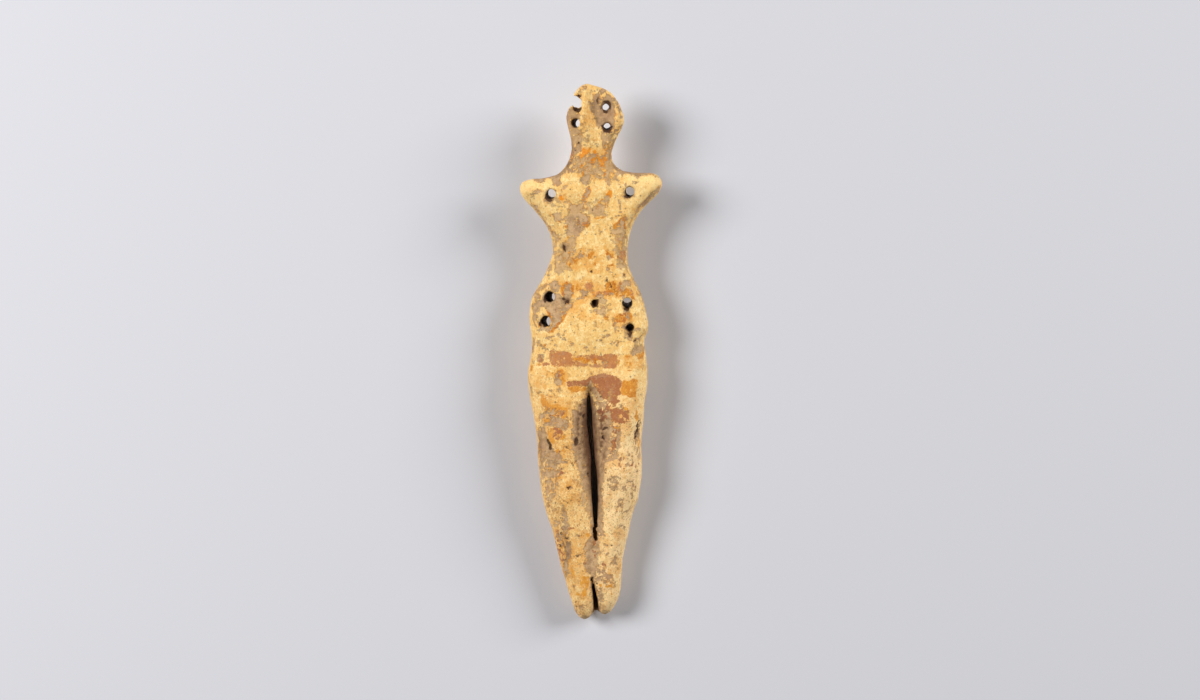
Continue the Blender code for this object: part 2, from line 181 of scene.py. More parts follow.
@dataclass(frozen=True)
class Crack:
    """A narrow line that goes down into the clay."""

    points: tuple[tuple[float, float], ...]
    wide: float
    deep: float = 0.3

    @property
    def half(self) -> float:
        """Half of its width."""
        return self.wide / 2

    def depth(self, places: np.ndarray) -> np.ndarray:
        """How far inside the line's width each place lies.

        Args:
            places: two columns, in the plane of the readings.

        Returns:
            Millimetres, below nothing beside the line.
        """
        nearest = np.full(len(places), np.inf)
        for start, end in zip(np.array(self.points, float), np.array(self.points[1:], float)):
            edge = end - start
            off = places - start
            gap = off - np.clip(off @ edge / (edge @ edge), 0.0, 1.0)[:, None] * edge
            nearest = np.minimum(nearest, np.hypot(gap[:, 0], gap[:, 1]))
        return self.half - nearest


# The marks of the front, from the head down, in the order they are drawn: a later one covers an earlier one.
HEAD_MARKS = (
    BARE.field(-8.9, 79, -7.6, 81.4, -6.3, 81.6, -5.8, 80.8, -4.2, 80, -3.9, 78, -4.3, 75, -3.6, 73.5,
        -3.2, 71.5, -3.2, 69.5, -3.3, 67.5, -4.5, 66.5, -7.6, 65.5, -8.4, 70, cover=0.94),
    THIN.field(-3.8, 75.5, -1.6, 74.5, -0.4, 71, -0.5, 68.8, -2.8, 69, -3.2, 72),
    BARE.field(-0.9, 83.9, 0.6, 83.7, 0.9, 85.6, 1.6, 86.6, 2.6, 87, 2.9, 87.9, 4.2, 87.9, 4.9, 87, 5.3, 86.3,
        6.6, 85.6, 7.2, 84.2, 7.7, 83, 8, 81, 8, 79, 7.8, 77, 7.9, 75, 7, 73.2, 4.6, 73, 4, 74.3, 2.8, 75.2,
        1.9, 76, 1.2, 77.4, 0.7, 79, 0.1, 80.5, -0.4, 82.2), SLIP(4, 85.7, 1.7, 1.5),
    SLIP(3.3, 84.2, 0.7, 1.5, 15), SLIP(1.1, 78.2, 0.5, 2.6, 20, 0.6), BARE(6.1, 85.9, 1, 0.6, -25),
    BARE(8.8, 83.2, 0.9, 0.6, -40), BARE(7.6, 84.5, 0.8, 0.8), BARE(10, 80.6, 0.5, 1),
    BARE(9, 77.3, 1.1, 0.8), BARE(9.7, 78.6, 0.6, 0.8), BARE(1.3, 87.6, 0.9, 0.6),
    BARE(-3.4, 87.2, 1.6, 1.4, 0, 0.5), BARE(-1.9, 88.6, 1.2, 1.2, 0, 0.7), STAIN(-1.9, 88.6, 1.6, 1.6),
    BARE(-4.2, 85.6, 1.8, 0.7, 10), THIN(-3.9, 86.6, 2, 1.8), BARE(0.6, 88.3, 1.2, 0.4, -15, 0.7),
    THIN(-0.4, 86.2, 2.6, 1.4, 0, 0.5),
    BARE.field(7.2, 73.2, 8.2, 74.3, 10.6, 76.2, 9.2, 73, 8.2, 70.8, 7.3, 69.8, 6.7, 71, 6, 73, cover=0.6),
    SLIP(6.3, 72.2, 0.5, 2.2, -10, 0.8),
    THIN.field(2.8, 74.5, 4.2, 73, 6.5, 72.5, 8.2, 70.8, 7.4, 66, 5, 64, 4.4, 67, 3.4, 70),
    BARE.field(3.6, 73.8, 4.6, 73, 6.5, 72.5, 8.2, 70.8, 7.4, 66, 5.4, 64, 4.9, 67, 4.2, 70, cover=0.62),
    STAIN(5.4, 67.5, 2.4, 6), RED(-4.6, 69.8, 1.2, 0.8, 0, 0.6), SLIP(4.3, 85.9, 2.2, 1.3, 25),
    SLIP(3.4, 84.2, 1, 2.6, -22), SLIP(3, 82.7, 0.8, 1.2, -20), SLIP(1.6, 80.6, 0.5, 1.4, 10),
    BARE(9.7, 80.8, 0.7, 1.6, 10), BARE(8.6, 83.3, 1.1, 0.7, -45), BARE(8.3, 79.6, 0.9, 0.8),
    BARE(9, 81.9, 0.8, 0.5, -30), SLIP(7.2, 71.3, 0.5, 3.4, -32), SLIP(5.9, 73.1, 0.5, 1.6, -40),
    SLIP(8.4, 73.5, 0.6, 2, -35), SLIP(4.6, 70.2, 0.4, 2.4, 8), SLIP(6.2, 68.6, 0.4, 1.8, -15),
    THIN(-5.5, 80, 3.6, 2.4), THIN(-5.2, 73.5, 5.6, 9.5), SOIL_AND_SHADE(-5.5, 76.6, 3, 3.8), SOIL_AND_SHADE(5.2, 82, 3.4, 3.8),
    SOIL_AND_SHADE(5.5, 74.9, 3.8, 4.2), SOIL_AND_SHADE(-4.8, 81.3, 3, 3), SOIL_AND_SHADE(-4.2, 85.4, 2.4, 1.2), SOIL_AND_SHADE(-6.6, 69, 1.6, 8),
    SOIL_AND_SHADE(7.4, 68.5, 1.6, 7), OCHRE(-1.8, 88.9, 1.2, 0.7, 0, 0.6), OCHRE(-0.4, 83.3, 0.4, 2, 18),
    STAIN.field(-3.4, 85, -1.2, 85, 0.6, 79, 1.8, 75, 1, 73, -3.6, 74, -3.9, 79),
    THIN.field(-3.6, 77, -2.6, 78.6, -1.6, 76, -0.8, 73, -0.2, 70, -0.8, 68.6, -3.2, 69),
    BARE.field(3.4, 74.6, 4.4, 73.2, 4.9, 70, 4.6, 67.4, 4.2, 67.8, 3.6, 71, 2.9, 73.4, cover=0.7),
)

NECK_MARKS = (
    BARE.field(-7.6, 65.8, -3.5, 65, 0.5, 66.5, 7, 65.2, 9, 61.5, 10.5, 60.7, 10.8, 58.4, 9.2, 57.3, 6.8, 57,
        5.9, 55.3, 4.5, 57.5, 2.5, 57.3, 0.8, 58.8, -0.3, 59, -0.4, 56.5, -1.4, 55.4, -3.3, 56.6, -3.2, 59,
        -5, 60, -7, 59.6, -9.5, 60.3, cover=0.72),
    STAIN.field(-3.2, 66.5, 4.5, 66.5, 6.5, 64, 8.8, 59, 6, 56.5, 0.8, 58.8, -5, 60, -7, 63),
    THIN.field(-3.2, 65, 4.5, 65, 6.5, 64, 9.5, 59.5, 6, 56.2, 0.8, 58.6, -5, 60, -7, 63),
    OCHRE(-2.2, 67.1, 2.3, 2.2, 10), OCHRE(-1.8, 66, 2.4, 1, 10), SLIP(-3.2, 66.8, 0.8, 1.6, 0, 0.6),
    OCHRE.field(0.2, 67.1, 1, 67.3, 2.8, 65.8, 4.2, 64.4, 4.4, 62, 3.6, 61, 3.4, 63.6, 2.2, 65.2, 1, 66.6,
        0.2, 66.5), OCHRE(4.7, 64, 1.2, 4.2, 12), OCHRE(5.1, 67.2, 0.6, 1.8), BARE(0.2, 65.5, 4.4, 1.5),
    BARE(2, 63.2, 2.2, 1.4, -20), OCHRE(1, 64.3, 1.7, 0.8, 15), OCHRE(0.4, 63.3, 2.6, 0.7, -5),
    OCHRE(-3.5, 65.7, 0.9, 1.6), OCHRE(3.2, 62, 0.8, 1.6), OCHRE(-3.2, 62.4, 0.9, 2, 10),
    SLIP(-4.9, 66, 0.8, 1.4, -10), SLIP(-3.7, 63.8, 0.7, 0.9), SLIP(-6.7, 62.3, 0.5, 1.2, -20),
    RED(-6.2, 64.4, 1.5, 2.8, -15, 0.55), OCHRE(-1.1, 61, 0.7, 1.6), SLIP(-2.4, 60.6, 1.4, 1),
    OCHRE(5.2, 60.3, 1, 1.4, 0, 0.6), BARE(-1.9, 57.6, 2.7, 3.4, -8), OCHRE(-3.2, 58.6, 0.6, 2, -10, 0.8),
    SLIP(6.9, 58.6, 1, 1.6, -15, 0.6),
    OCHRE.field(-3.6, 66.2, -2.6, 67.4, -2.2, 68.4, -1.2, 68.2, -0.3, 68.6, -0.2, 67.4, -0.8, 66.4,
        -1.6, 65.8, -2.6, 65.2, -3, 64.2, -4, 64.6),
    OCHRE.field(0.2, 67.4, 1.2, 67.6, 2.4, 66.4, 3.6, 65, 4.6, 63.2, 4.9, 61.2, 4.2, 60.6, 3.4, 61.6, 3, 63.4,
        1.8, 65.4, 0.6, 66.6), SLIP(1, 68, 1.3, 1.4, 20), SLIP(3.3, 65.9, 1.2, 2.4, 18),
    SLIP(4.3, 62.6, 0.5, 2.2, 12), OCHRE(4.9, 66.6, 0.8, 3, 8), OCHRE(5.4, 64.2, 0.7, 2, -10),
    OCHRE(0.8, 63.9, 2.2, 1, 12), OCHRE(-3.6, 62.9, 1, 2.6, 12), OCHRE(-1, 60.6, 1, 2),
    OCHRE(4.8, 59.6, 1.2, 1.6), SLIP(-5.6, 65.6, 1, 1.8, -10), SLIP(-4.8, 63.6, 0.6, 1.4),
    RED(-6.6, 66.4, 1.4, 3, -12), OCHRE(-2.6, 59.2, 1, 1.8, 20), SLIP(-1.3, 59.2, 0.8, 1.2),
    SLIP(1.9, 61, 0.5, 0.9), STAIN.field(-7, 66, -2, 69, 5.6, 68, 6, 60, 3, 57, -4, 57, -6, 61),
    SLIP.field(-4.2, 63, -3.6, 67, -0.4, 69, 5.2, 67.4, 5.4, 60, 3, 60, 1.6, 65, -2.4, 64, cover=0.2),
    SOIL_AND_SHADE(8.6, 62.6, 3, 5, 40), SOIL_AND_SHADE(-8.2, 62.4, 2.6, 4.4, -40), SOIL_AND_SHADE(13.4, 60.3, 7, 1.5),
    SOIL_AND_SHADE(6.6, 65.6, 1.6, 3.6), SOIL_AND_SHADE(-10.5, 59.8, 5, 1.2, 18),
)

CHEST_MARKS = (
    BARE.field(-19.6, 58.4, -15, 58.9, -12, 59.3, -9.5, 60.5, -9.9, 59, -10.4, 57.5, -10.4, 55.8, -12.6, 55.2,
        -12.8, 57, -13, 58, -15, 57.9, -16.2, 56.9, -17, 56.4, -17.6, 57, -19.2, 57.2),
    OCHRE(-16.8, 56.7, 0.6, 0.9), OCHRE(-10.6, 57, 0.5, 1.8, -5, 0.7),
    BARE.field(10, 60.8, 14, 60.9, 19.5, 60.8, 20.8, 60.4, 18.5, 59.3, 17, 58.9, 15.9, 57.8, 15.2, 58.5,
        13.5, 59.4, 11.3, 59.4, 10.6, 58), BARE(15, 56.6, 1.2, 0.9, 0, 0.7), BARE(11.8, 56.1, 0.5, 0.9),
    BARE(21.9, 58.8, 1.2, 0.35, -20), BARE(9.3, 57.4, 1.6, 2.2, 0, 0.5), BARE(-18.4, 53.1, 2.6, 1.3, 15),
    BARE(-19.3, 52.6, 0.9, 1.5), BARE(-13.6, 50.7, 3.2, 1.9, 5), THIN(-13.3, 51, 4.6, 4.2),
    OCHRE(-10.4, 51.1, 2.4, 0.8), BARE(-9.3, 54.5, 1.2, 0.5, 35), OCHRE(-9.2, 52.8, 0.4, 2, 0, 0.7),
    THIN(-9.8, 50, 3.5, 2.2), OCHRE(-1.5, 52.5, 2.2, 5.6, -18), BARE(-1.5, 52.4, 1.3, 4.4, -18),
    BARE(-2.9, 50.5, 0.8, 0.8), OCHRE(6.1, 52.7, 1.4, 3.4, -8), BARE(5.8, 49, 0.7, 2),
    BARE(0.7, 47.5, 0.8, 0.9), BARE(-8, 50.2, 1.1, 0.4), THIN(12.9, 52.6, 5.4, 4.8),
    BARE(11.3, 51.9, 1, 1.4, 40, 0.7),
    THIN.field(-14, 49.4, -10, 50, -4, 50.4, 1.5, 51, 5.6, 51.5, 6, 46, 9, 44, 4, 44.5, 0, 46, -4, 46,
        -12, 43.5),
    BARE.field(-7.2, 49.7, -5.5, 49, -3.5, 49.6, -2.3, 50.2, -2.7, 48, -3.4, 46.8, -3, 46, -1.2, 45.6,
        -0.2, 45.1, -0.3, 43.4, -0.5, 41.3, -2.3, 41.2, -2.6, 40.2, -3.6, 39.9, -4.4, 38.7, -6, 39,
        -8.3, 38.9, -8.9, 40, -8.2, 41.5, -8.7, 43, -8.9, 45, -8, 46.5, -7.3, 48),
    RED(-3.9, 43.6, 2.6, 2.6, 0, 0.5), OCHRE(-1.5, 42.3, 1.9, 1.9), OCHRE(-7.7, 41.9, 1.7, 0.5, 25),
    RED(-2.6, 42.4, 1.2, 1.6), BARE(-1.9, 47.6, 1.8, 1.3, 0, 0.7),
    BARE.field(0.2, 46.5, 1, 48.6, 2.4, 49.8, 4.8, 50.1, 5.2, 48.5, 4.6, 47.2, 4.9, 45.8, 4, 44.9, 2, 45.2,
        0.6, 45.6, cover=0.66), OCHRE(2.4, 45, 3.4, 0.6, 5), OCHRE(3.5, 50.3, 1.8, 0.4, 10),
    BARE(9.2, 45.2, 1.2, 0.4, 15), BARE(-11.2, 44.6, 2.8, 1.1, -32), OCHRE(-10.4, 43.5, 1, 0.4, -25),
    THIN(-12, 45.2, 3, 1.4), OCHRE(9.2, 42.8, 5.6, 1.2, 38), BARE(9.4, 41.7, 3.8, 1.6, 35),
    BARE(11.2, 44.1, 1.5, 1.9), OCHRE(11.4, 41.7, 1, 0.8), BARE(8.2, 40.1, 3, 1.8),
    BARE(9.6, 38.6, 3.4, 1.2, -15, 0.6), BARE(11.3, 36.6, 1.4, 6, 5, 0.55),
    BARE(12.9, 42.6, 0.5, 2.6, -20, 0.8), BARE(3.2, 39.5, 0.4, 1), BARE(19.7, 51.9, 1.5, 4, -38),
    BARE(16.9, 48.9, 1.1, 5.4, -40), BARE(22.4, 53.9, 0.8, 2, -40), BARE(-16.4, 44.8, 0.6, 10.5, 36),
    BARE(-18.6, 48.2, 1, 0.8), OCHRE(-13.8, 41.6, 0.5, 2, 36), BARE(-12.5, 39.2, 1, 2.2, 20),
    BARE(-11.7, 37.3, 1.5, 0.6, 10), BARE(-12.1, 35.4, 1.1, 1.8), BARE(-12.5, 32.9, 1.5, 1.2),
    OCHRE(-12, 31.9, 0.4, 1.2), BARE(-13.8, 27.6, 0.8, 2.8, -25, 0.8),
    RED.field(-4.4, 44.6, -2.2, 44.4, -0.8, 43.2, -0.9, 41.2, -2.4, 41.4, -2.8, 42.8, -4.6, 42.4, cover=0.8),
    OCHRE(-1.3, 41.9, 2, 2.2), OCHRE(-0.5, 44.2, 0.6, 2, 10), OCHRE(-8.6, 41.6, 1.4, 0.9, 20),
    BARE(-11.2, 45, 2.6, 2.6, -20), BARE(-13.2, 45.6, 1.2, 0.8), OCHRE(-10.6, 43.4, 1.3, 0.5, -20),
    BARE(-9.8, 52, 1.4, 0.8, 20), OCHRE(-10, 51.2, 1.6, 1.6), BARE(-8.9, 55, 1.8, 0.6, 40),
    OCHRE(-2.2, 51.2, 0.7, 2.2, -15), OCHRE(-0.8, 54.2, 0.7, 1.6, -10), OCHRE(6.2, 52.6, 1.8, 3.6, -8),
    BARE(5.4, 50.8, 1.4, 1.8), OCHRE(3.6, 50.4, 1.8, 1, 20), BARE(5.8, 48.8, 0.8, 1.2),
    BARE(9.8, 48.6, 0.5, 2.2, 10), OCHRE(2.8, 44.8, 3.4, 1, 8), OCHRE(9.2, 45.2, 1.4, 0.6, 15),
    OCHRE.field(7.2, 40.8, 7.6, 42.4, 9.2, 43.6, 11.2, 45.2, 11.9, 44.8, 11.4, 43.2, 11.8, 41.2, 10.8, 40.8,
        9.6, 42.2, 8.4, 41.2),
    BARE.field(8, 41.2, 9.4, 43.2, 11.4, 44.4, 10.8, 42.6, 11.4, 39.6, 11.2, 37, 9.6, 36.8, 8.6, 38.8,
        7.2, 39.4, cover=0.74), THIN.field(6.5, 40.5, 12.4, 42, 12.6, 27, 9, 27, 8.2, 33, 6.6, 35),
    OCHRE(11.3, 41.6, 0.8, 1),
    THIN.field(-12.8, 40, -9, 38.6, -5, 37.5, -4.6, 32, -7, 27, -13.5, 25.5, -12.6, 32),
    SOIL_AND_SHADE(-8.8, 34.6, 3.2, 3.4), SOIL_AND_SHADE(-13.9, 52.2, 4.4, 4.4), SOIL_AND_SHADE(-14.4, 51.2, 3, 3.4, 30),
    SOIL_AND_SHADE(12.8, 53, 4.4, 4.4), STAIN(-2.5, 43, 5, 5), STAIN(9.5, 42, 5, 4), STAIN(-10, 51, 4, 4),
    BARE(20.8, 52.6, 1.1, 5.4, -42), BARE(18, 49.8, 1.2, 6, -42), SLIP(19.6, 51, 0.45, 5.6, -42),
    BARE(18.4, 59.4, 0.9, 0.6), BARE(20, 59.6, 1.2, 0.5, -20), BARE(15.2, 56.6, 1, 1),
)

WAIST_MARKS = (
    BARE.field(-9.5, 35.2, -8.6, 36.6, -7, 37.5, -5.4, 38.4, -5, 37, -5.3, 35, -5, 33.2, -6, 32.6, -7.6, 33,
        -7.4, 31, -8.3, 30, -9.2, 28.8, -9.5, 27, -11, 25.4, -12.2, 27, -12, 29.5, -11.8, 31.5, -10, 32,
        -9.2, 33.5, cover=0.93), OCHRE(-8.2, 37.6, 1.8, 0.8, 20, 0.5), STAIN(-7.5, 36.4, 4.5, 4),
    OCHRE(-4.6, 30.7, 3.8, 1.6, 32), BARE(-4.2, 31.4, 3.4, 1.2, 32), OCHRE(-8.3, 29.6, 0.6, 1.6, 30),
    OCHRE(0.4, 32.2, 1.2, 3.2, -24), OCHRE(1.4, 29.2, 0.5, 1.6), OCHRE(5.2, 33, 0.8, 1.6, 20),
    OCHRE(7.3, 31.9, 0.6, 1.6, 15), BARE(6, 31.2, 1, 0.6, 20), OCHRE(6.5, 28.8, 2.4, 0.35, 0, 0.8),
    BARE(-2.8, 34, 1.1, 0.4), OCHRE(-6.4, 30.6, 0.6, 0.8), BARE(8, 34, 2.6, 2.4, 20, 0.5),
    BARE(-1.5, 29, 0.5, 0.4), BARE(5.8, 28, 0.4, 0.9, 0, 0.8), RED(11, 31.6, 1.6, 5.2),
    BARE(10.9, 34.2, 1.2, 2.4), BARE(10, 29.3, 1.8, 2.4, 0, 0.8), OCHRE(10.4, 30.6, 0.5, 1.5, 20),
    BARE(11.2, 25.3, 0.9, 0.7), BARE(12.2, 27.5, 0.5, 2, 25, 0.8), BARE(-14.6, 25.6, 1, 0.5, 20),
    STAIN(9.5, 36, 3, 3), STAIN(-11, 22, 4, 6), OCHRE(-0.2, 32, 1.5, 3.2, -24), OCHRE(0.8, 33.2, 0.9, 1.2),
    OCHRE(1.2, 29.2, 0.9, 1.8, -8), OCHRE(5.6, 32.6, 1.4, 1.2, 20), OCHRE(7, 31.8, 1, 1.4),
    BARE(5.9, 31.4, 1.3, 1.1), OCHRE(-5.4, 30.4, 2.2, 1.4, 25), BARE(-3.4, 31.7, 2.4, 1.8, 20),
    OCHRE(-2.6, 32.8, 0.7, 1.8, 10), OCHRE(-5, 29.3, 0.9, 0.9), OCHRE(6.6, 28.8, 2.2, 0.7),
    RED(10.6, 32.2, 2.2, 5), BARE(9.6, 29.6, 1.6, 2.4), BARE(11.2, 34.4, 1.8, 1.6), BARE(9.4, 33, 0.9, 2.4),
    OCHRE(9.1, 31, 0.5, 2.4), OCHRE(11.4, 30.6, 0.7, 1.6), BARE(11.6, 28.4, 1.2, 0.8),
    STAIN.field(-9, 33.5, -2, 35, 9, 34.5, 9, 27.5, 3, 25.5, -3, 27, -8, 27), OCHRE(-7, 29, 0.9, 1.6),
    BARE(0, 26.4, 0.6, 0.6), SLIP(-9.6, 30.4, 0.7, 1.8, 15), OCHRE(-9.4, 30.6, 0.5, 1.4, 15),
)

HIP_MARKS = (
    BARE(-12.3, 21.6, 3.6, 3.6), RED(-13.7, 20.7, 1, 0.8),
    OCHRE.field(-10.2, 22, -8.8, 22.9, -6.5, 22.9, -5.8, 22, -5.9, 19, -6.4, 17.8, -8.4, 17.8, -9.2, 18.6,
        -10.2, 19.8), RED(-9.4, 20.4, 1.2, 2.4), OCHRE(-4.4, 21.4, 0.45, 2.6), OCHRE(-2.3, 21.4, 0.3, 1.4),
    RED(-0.5, 21.5, 2.5, 3.2), BARE(-2.1, 19.4, 1.8, 1.8),
    RED.field(0.2, 20.4, 2.8, 20.2, 5, 20, 6, 19.6, 4.6, 19, 3, 18.9, 1.4, 18.4, 0.4, 18.8),
    OCHRE(4.4, 18.9, 3.6, 0.6), OCHRE(5.4, 21.6, 1.1, 3, 20), OCHRE(7.3, 22.1, 1.3, 3.2, -24),
    RED(6.4, 20.3, 1.6, 1.6), OCHRE(8.4, 19.1, 0.9, 1.6), SLIP(7.6, 20.5, 2.4, 0.3, -44),
    OCHRE(7.8, 20.2, 2.4, 0.5, -44), RED(9.6, 20.6, 1.1, 3.2), OCHRE(10, 22, 0.8, 1.2),
    OCHRE.field(11.4, 21.4, 13.2, 20.4, 14.2, 19, 14.8, 17.8, 14.2, 17.6, 12.6, 18, 11.8, 19.4),
    BARE(10.6, 20.6, 1.2, 2.2), BARE(11, 18.3, 1, 1.5), BARE(16, 20.6, 0.45, 8, 29),
    BARE(14.5, 23.4, 0.8, 1.2, 30), OCHRE(15.3, 19.4, 0.5, 3, 25, 0.8),
    OCHRE.field(-7.4, 13.6, -9, 13.2, -10.6, 10.4, -12.5, 8.3, -13.8, 6.2, -13, 6, -11.2, 8.2, -9.6, 10.2,
        -7.9, 12.4), OCHRE(-14.2, 12.5, 0.9, 3.2, 28),
    BARE.field(-19.9, 13, -19.7, 15, -18.9, 17, -16.8, 17.2, -15.8, 18.2, -15.4, 20.2, -13.2, 20.2, -12, 19.6,
        -10.4, 19, -9.7, 17.8, -10, 16, -8, 15.3, -6, 15.7, -5.6, 15.1, -7.8, 13.2, -9.9, 11.2, -10.5, 10.2,
        -12.3, 8.5, -13.5, 7, -14.2, 7.5, -13.2, 8.5, -13, 10, -13.4, 12, -14, 13, -14.8, 14.3, -15.8, 14.8,
        -17.2, 14.3, -18.5, 12.6), RED(-9.5, 12.8, 1.2, 1.4), SLIP(-10.2, 14.6, 1.2, 1.2, 0, 0.7),
    SLIP(-11.2, 17.2, 0.8, 1.6, -25), BARE(-18.2, 18.2, 1.6, 2, 0, 0.8), BARE(-16.5, 21.2, 2.6, 0.7, 32),
    BARE(-19.4, 10.8, 0.7, 2.4), BARE(-16.6, 7.5, 1.6, 1.4), RED(-16.9, 8.7, 0.9, 1.6),
    BARE(-14.9, 7.1, 1.4, 0.8, -20), BARE(-8.7, 16.6, 3.2, 2.2), BARE(2.6, 18.4, 1.5, 0.9),
    BARE(1.4, 13.4, 1.7, 0.8), BARE(3.9, 13.3, 1.3, 2.4), OCHRE(4.9, 11.2, 0.9, 1.6, -10),
    BARE(4.6, 12, 0.6, 1.8, 15), OCHRE(5.9, 11.9, 0.6, 0.6), BARE(-3.1, 17.8, 1.5, 0.45, 15),
    OCHRE(-1.4, 17.6, 0.35, 2, -20), BARE(12.3, 13.6, 2, 2), OCHRE(9.8, 10.7, 1.9, 2.6),
    OCHRE(12.9, 12, 1.2, 3.4, 22), RED(11.6, 11.6, 1.6, 2.4), BARE(12.4, 11.2, 1.1, 2, 10),
    OCHRE(7.9, 9, 0.5, 3), BARE(8.2, 7.9, 0.7, 2.8), BARE(9.2, 6.4, 0.8, 1.4, 0, 0.6),
    BARE(10.9, 8.2, 1, 2.2), OCHRE(10.9, 9.6, 0.8, 1.2), BARE(12.9, 5.2, 1.7, 3.6),
    BARE(15.6, 7.2, 1.2, 0.8, 0, 0.7), BARE(15.3, 3.4, 1.3, 1.1), THIN(13, 6, 4.5, 5),
    STAIN.field(-6, 17.5, -0.5, 17.5, -0.5, 13, 3, 11.5, 1, 10, -4, 10.5, -8, 12.5),
    OCHRE(-9.6, 20.6, 1.2, 4.6, -5), OCHRE(-6.2, 20.9, 0.9, 3.8),
    BARE.field(-8.7, 22.2, -8, 21.8, -7.4, 22.9, -6.6, 22.4, -6.9, 20.8, -6.3, 19.6, -6.9, 17.6, -8.6, 17.2,
        -9.2, 18.2, -8.5, 19.4, -9, 20.8), OCHRE(-8.2, 23, 1.6, 0.5), OCHRE(-4.6, 21.2, 0.9, 3.6),
    OCHRE(-3.6, 20.6, 0.6, 1.6), RED(-1, 21.6, 2.4, 3), OCHRE(0.2, 22.8, 0.7, 1.2),
    BARE(-2.4, 19.5, 2.4, 1.8),
    OCHRE.field(-0.4, 20.8, 1.2, 20.2, 3, 20.4, 4.8, 20, 4.6, 22.4, 5.6, 23, 6.4, 23.4, 7.2, 22.6, 8.4, 22.8,
        8.8, 21.4, 10.2, 21.8, 11.2, 20.4, 12.8, 20.6, 14.4, 18.6, 15, 16.8, 13.6, 17.2, 12.6, 18.6,
        10.8, 18.6, 9.2, 18.2, 7.6, 19, 6.2, 18.4, 4, 18.6, 1.8, 18.2, 0.4, 18.6, cover=0.93),
    RED.field(0.4, 20.2, 3, 20, 5.6, 19.4, 5.4, 18.8, 3.2, 18.8, 0.8, 18.8, cover=0.8),
    RED(9.8, 20.6, 1.6, 2.2, 0, 0.8), RED(13.6, 19.2, 1.6, 2, 20, 0.8),
    SLIP.field(4.8, 22.6, 8.6, 22.8, 15, 18, 13.4, 17.2, 0, 18.4, cover=0.14), SLIP(7.7, 20.6, 2.6, 0.5, -44),
    SLIP(11.9, 19.3, 1, 0.8),
    BARE.field(10.2, 22.4, 11.2, 23.3, 12.8, 23.5, 13.7, 22.5, 13.2, 21.5, 12.2, 21.9, 11.4, 21, 10.6, 20,
        10.2, 20.9, 10.9, 21.8), BARE(7, 18.9, 0.8, 0.7), BARE(3.9, 16.4, 2.6, 3.2, 10, 0.62),
    BARE(2.9, 18.4, 1.9, 0.9), BARE(4.2, 13.4, 1.2, 2.4, 20), OCHRE(5, 11, 1.4, 1.4),
    BARE(2.4, 13.2, 2.4, 0.9, -10), OCHRE(1.8, 12.2, 0.9, 0.5),
    OCHRE.field(8.6, 11.2, 9.2, 12.6, 10.2, 12, 11.4, 12.6, 12.2, 11.6, 13.4, 13.2, 13.9, 11.2, 13.2, 9.6,
        12.2, 10.6, 11.2, 9.2, 10, 9.9, 9, 9.4, 7.8, 10.6), OCHRE(8, 8.9, 0.8, 3.6),
    BARE(12.4, 11.4, 1.2, 2, 10), SLIP(10.6, 10.6, 5, 3.6, 0, 0.16), OCHRE(-12.4, 7.6, 3, 0.8, 45),
    OCHRE(-9.8, 10.8, 3.4, 0.8, 52), OCHRE(-13.2, 11, 0.9, 2.4), BARE(-18.6, 11, 1, 3.4, 10),
    OCHRE(-17.6, 8.6, 0.9, 1.6), OCHRE(-14.2, 6.6, 1.8, 0.8, -20), SOIL_AND_SHADE(-8.4, 16.8, 4, 3.4),
    SOIL_AND_SHADE(1.25, 15.8, 3.6, 3.6), SOIL_AND_SHADE(-14, 17.9, 4.4, 4.4), SOIL_AND_SHADE(-15.4, 10, 4.8, 4.8),
    SOIL_AND_SHADE(12.3, 15.4, 4, 4.8), SOIL_AND_SHADE(13, 6.9, 4, 5.8),
    STAIN.field(-11, 24, 15, 24, 15.5, 17.5, 8, 17.5, -4, 17.5, -10, 17.5), STAIN(10.6, 10.6, 8, 6),
    STAIN.field(-14, 17, -5, 16, -9, 11, -13, 6, -16, 6, -14, 11), THIN(4.4, 14.4, 4.6, 6),
    THIN(-18.6, 20.4, 2.6, 5, -20), THIN(17.8, 15.6, 1.6, 8, 12), BARE(17, 18.6, 0.5, 4, 24),
)

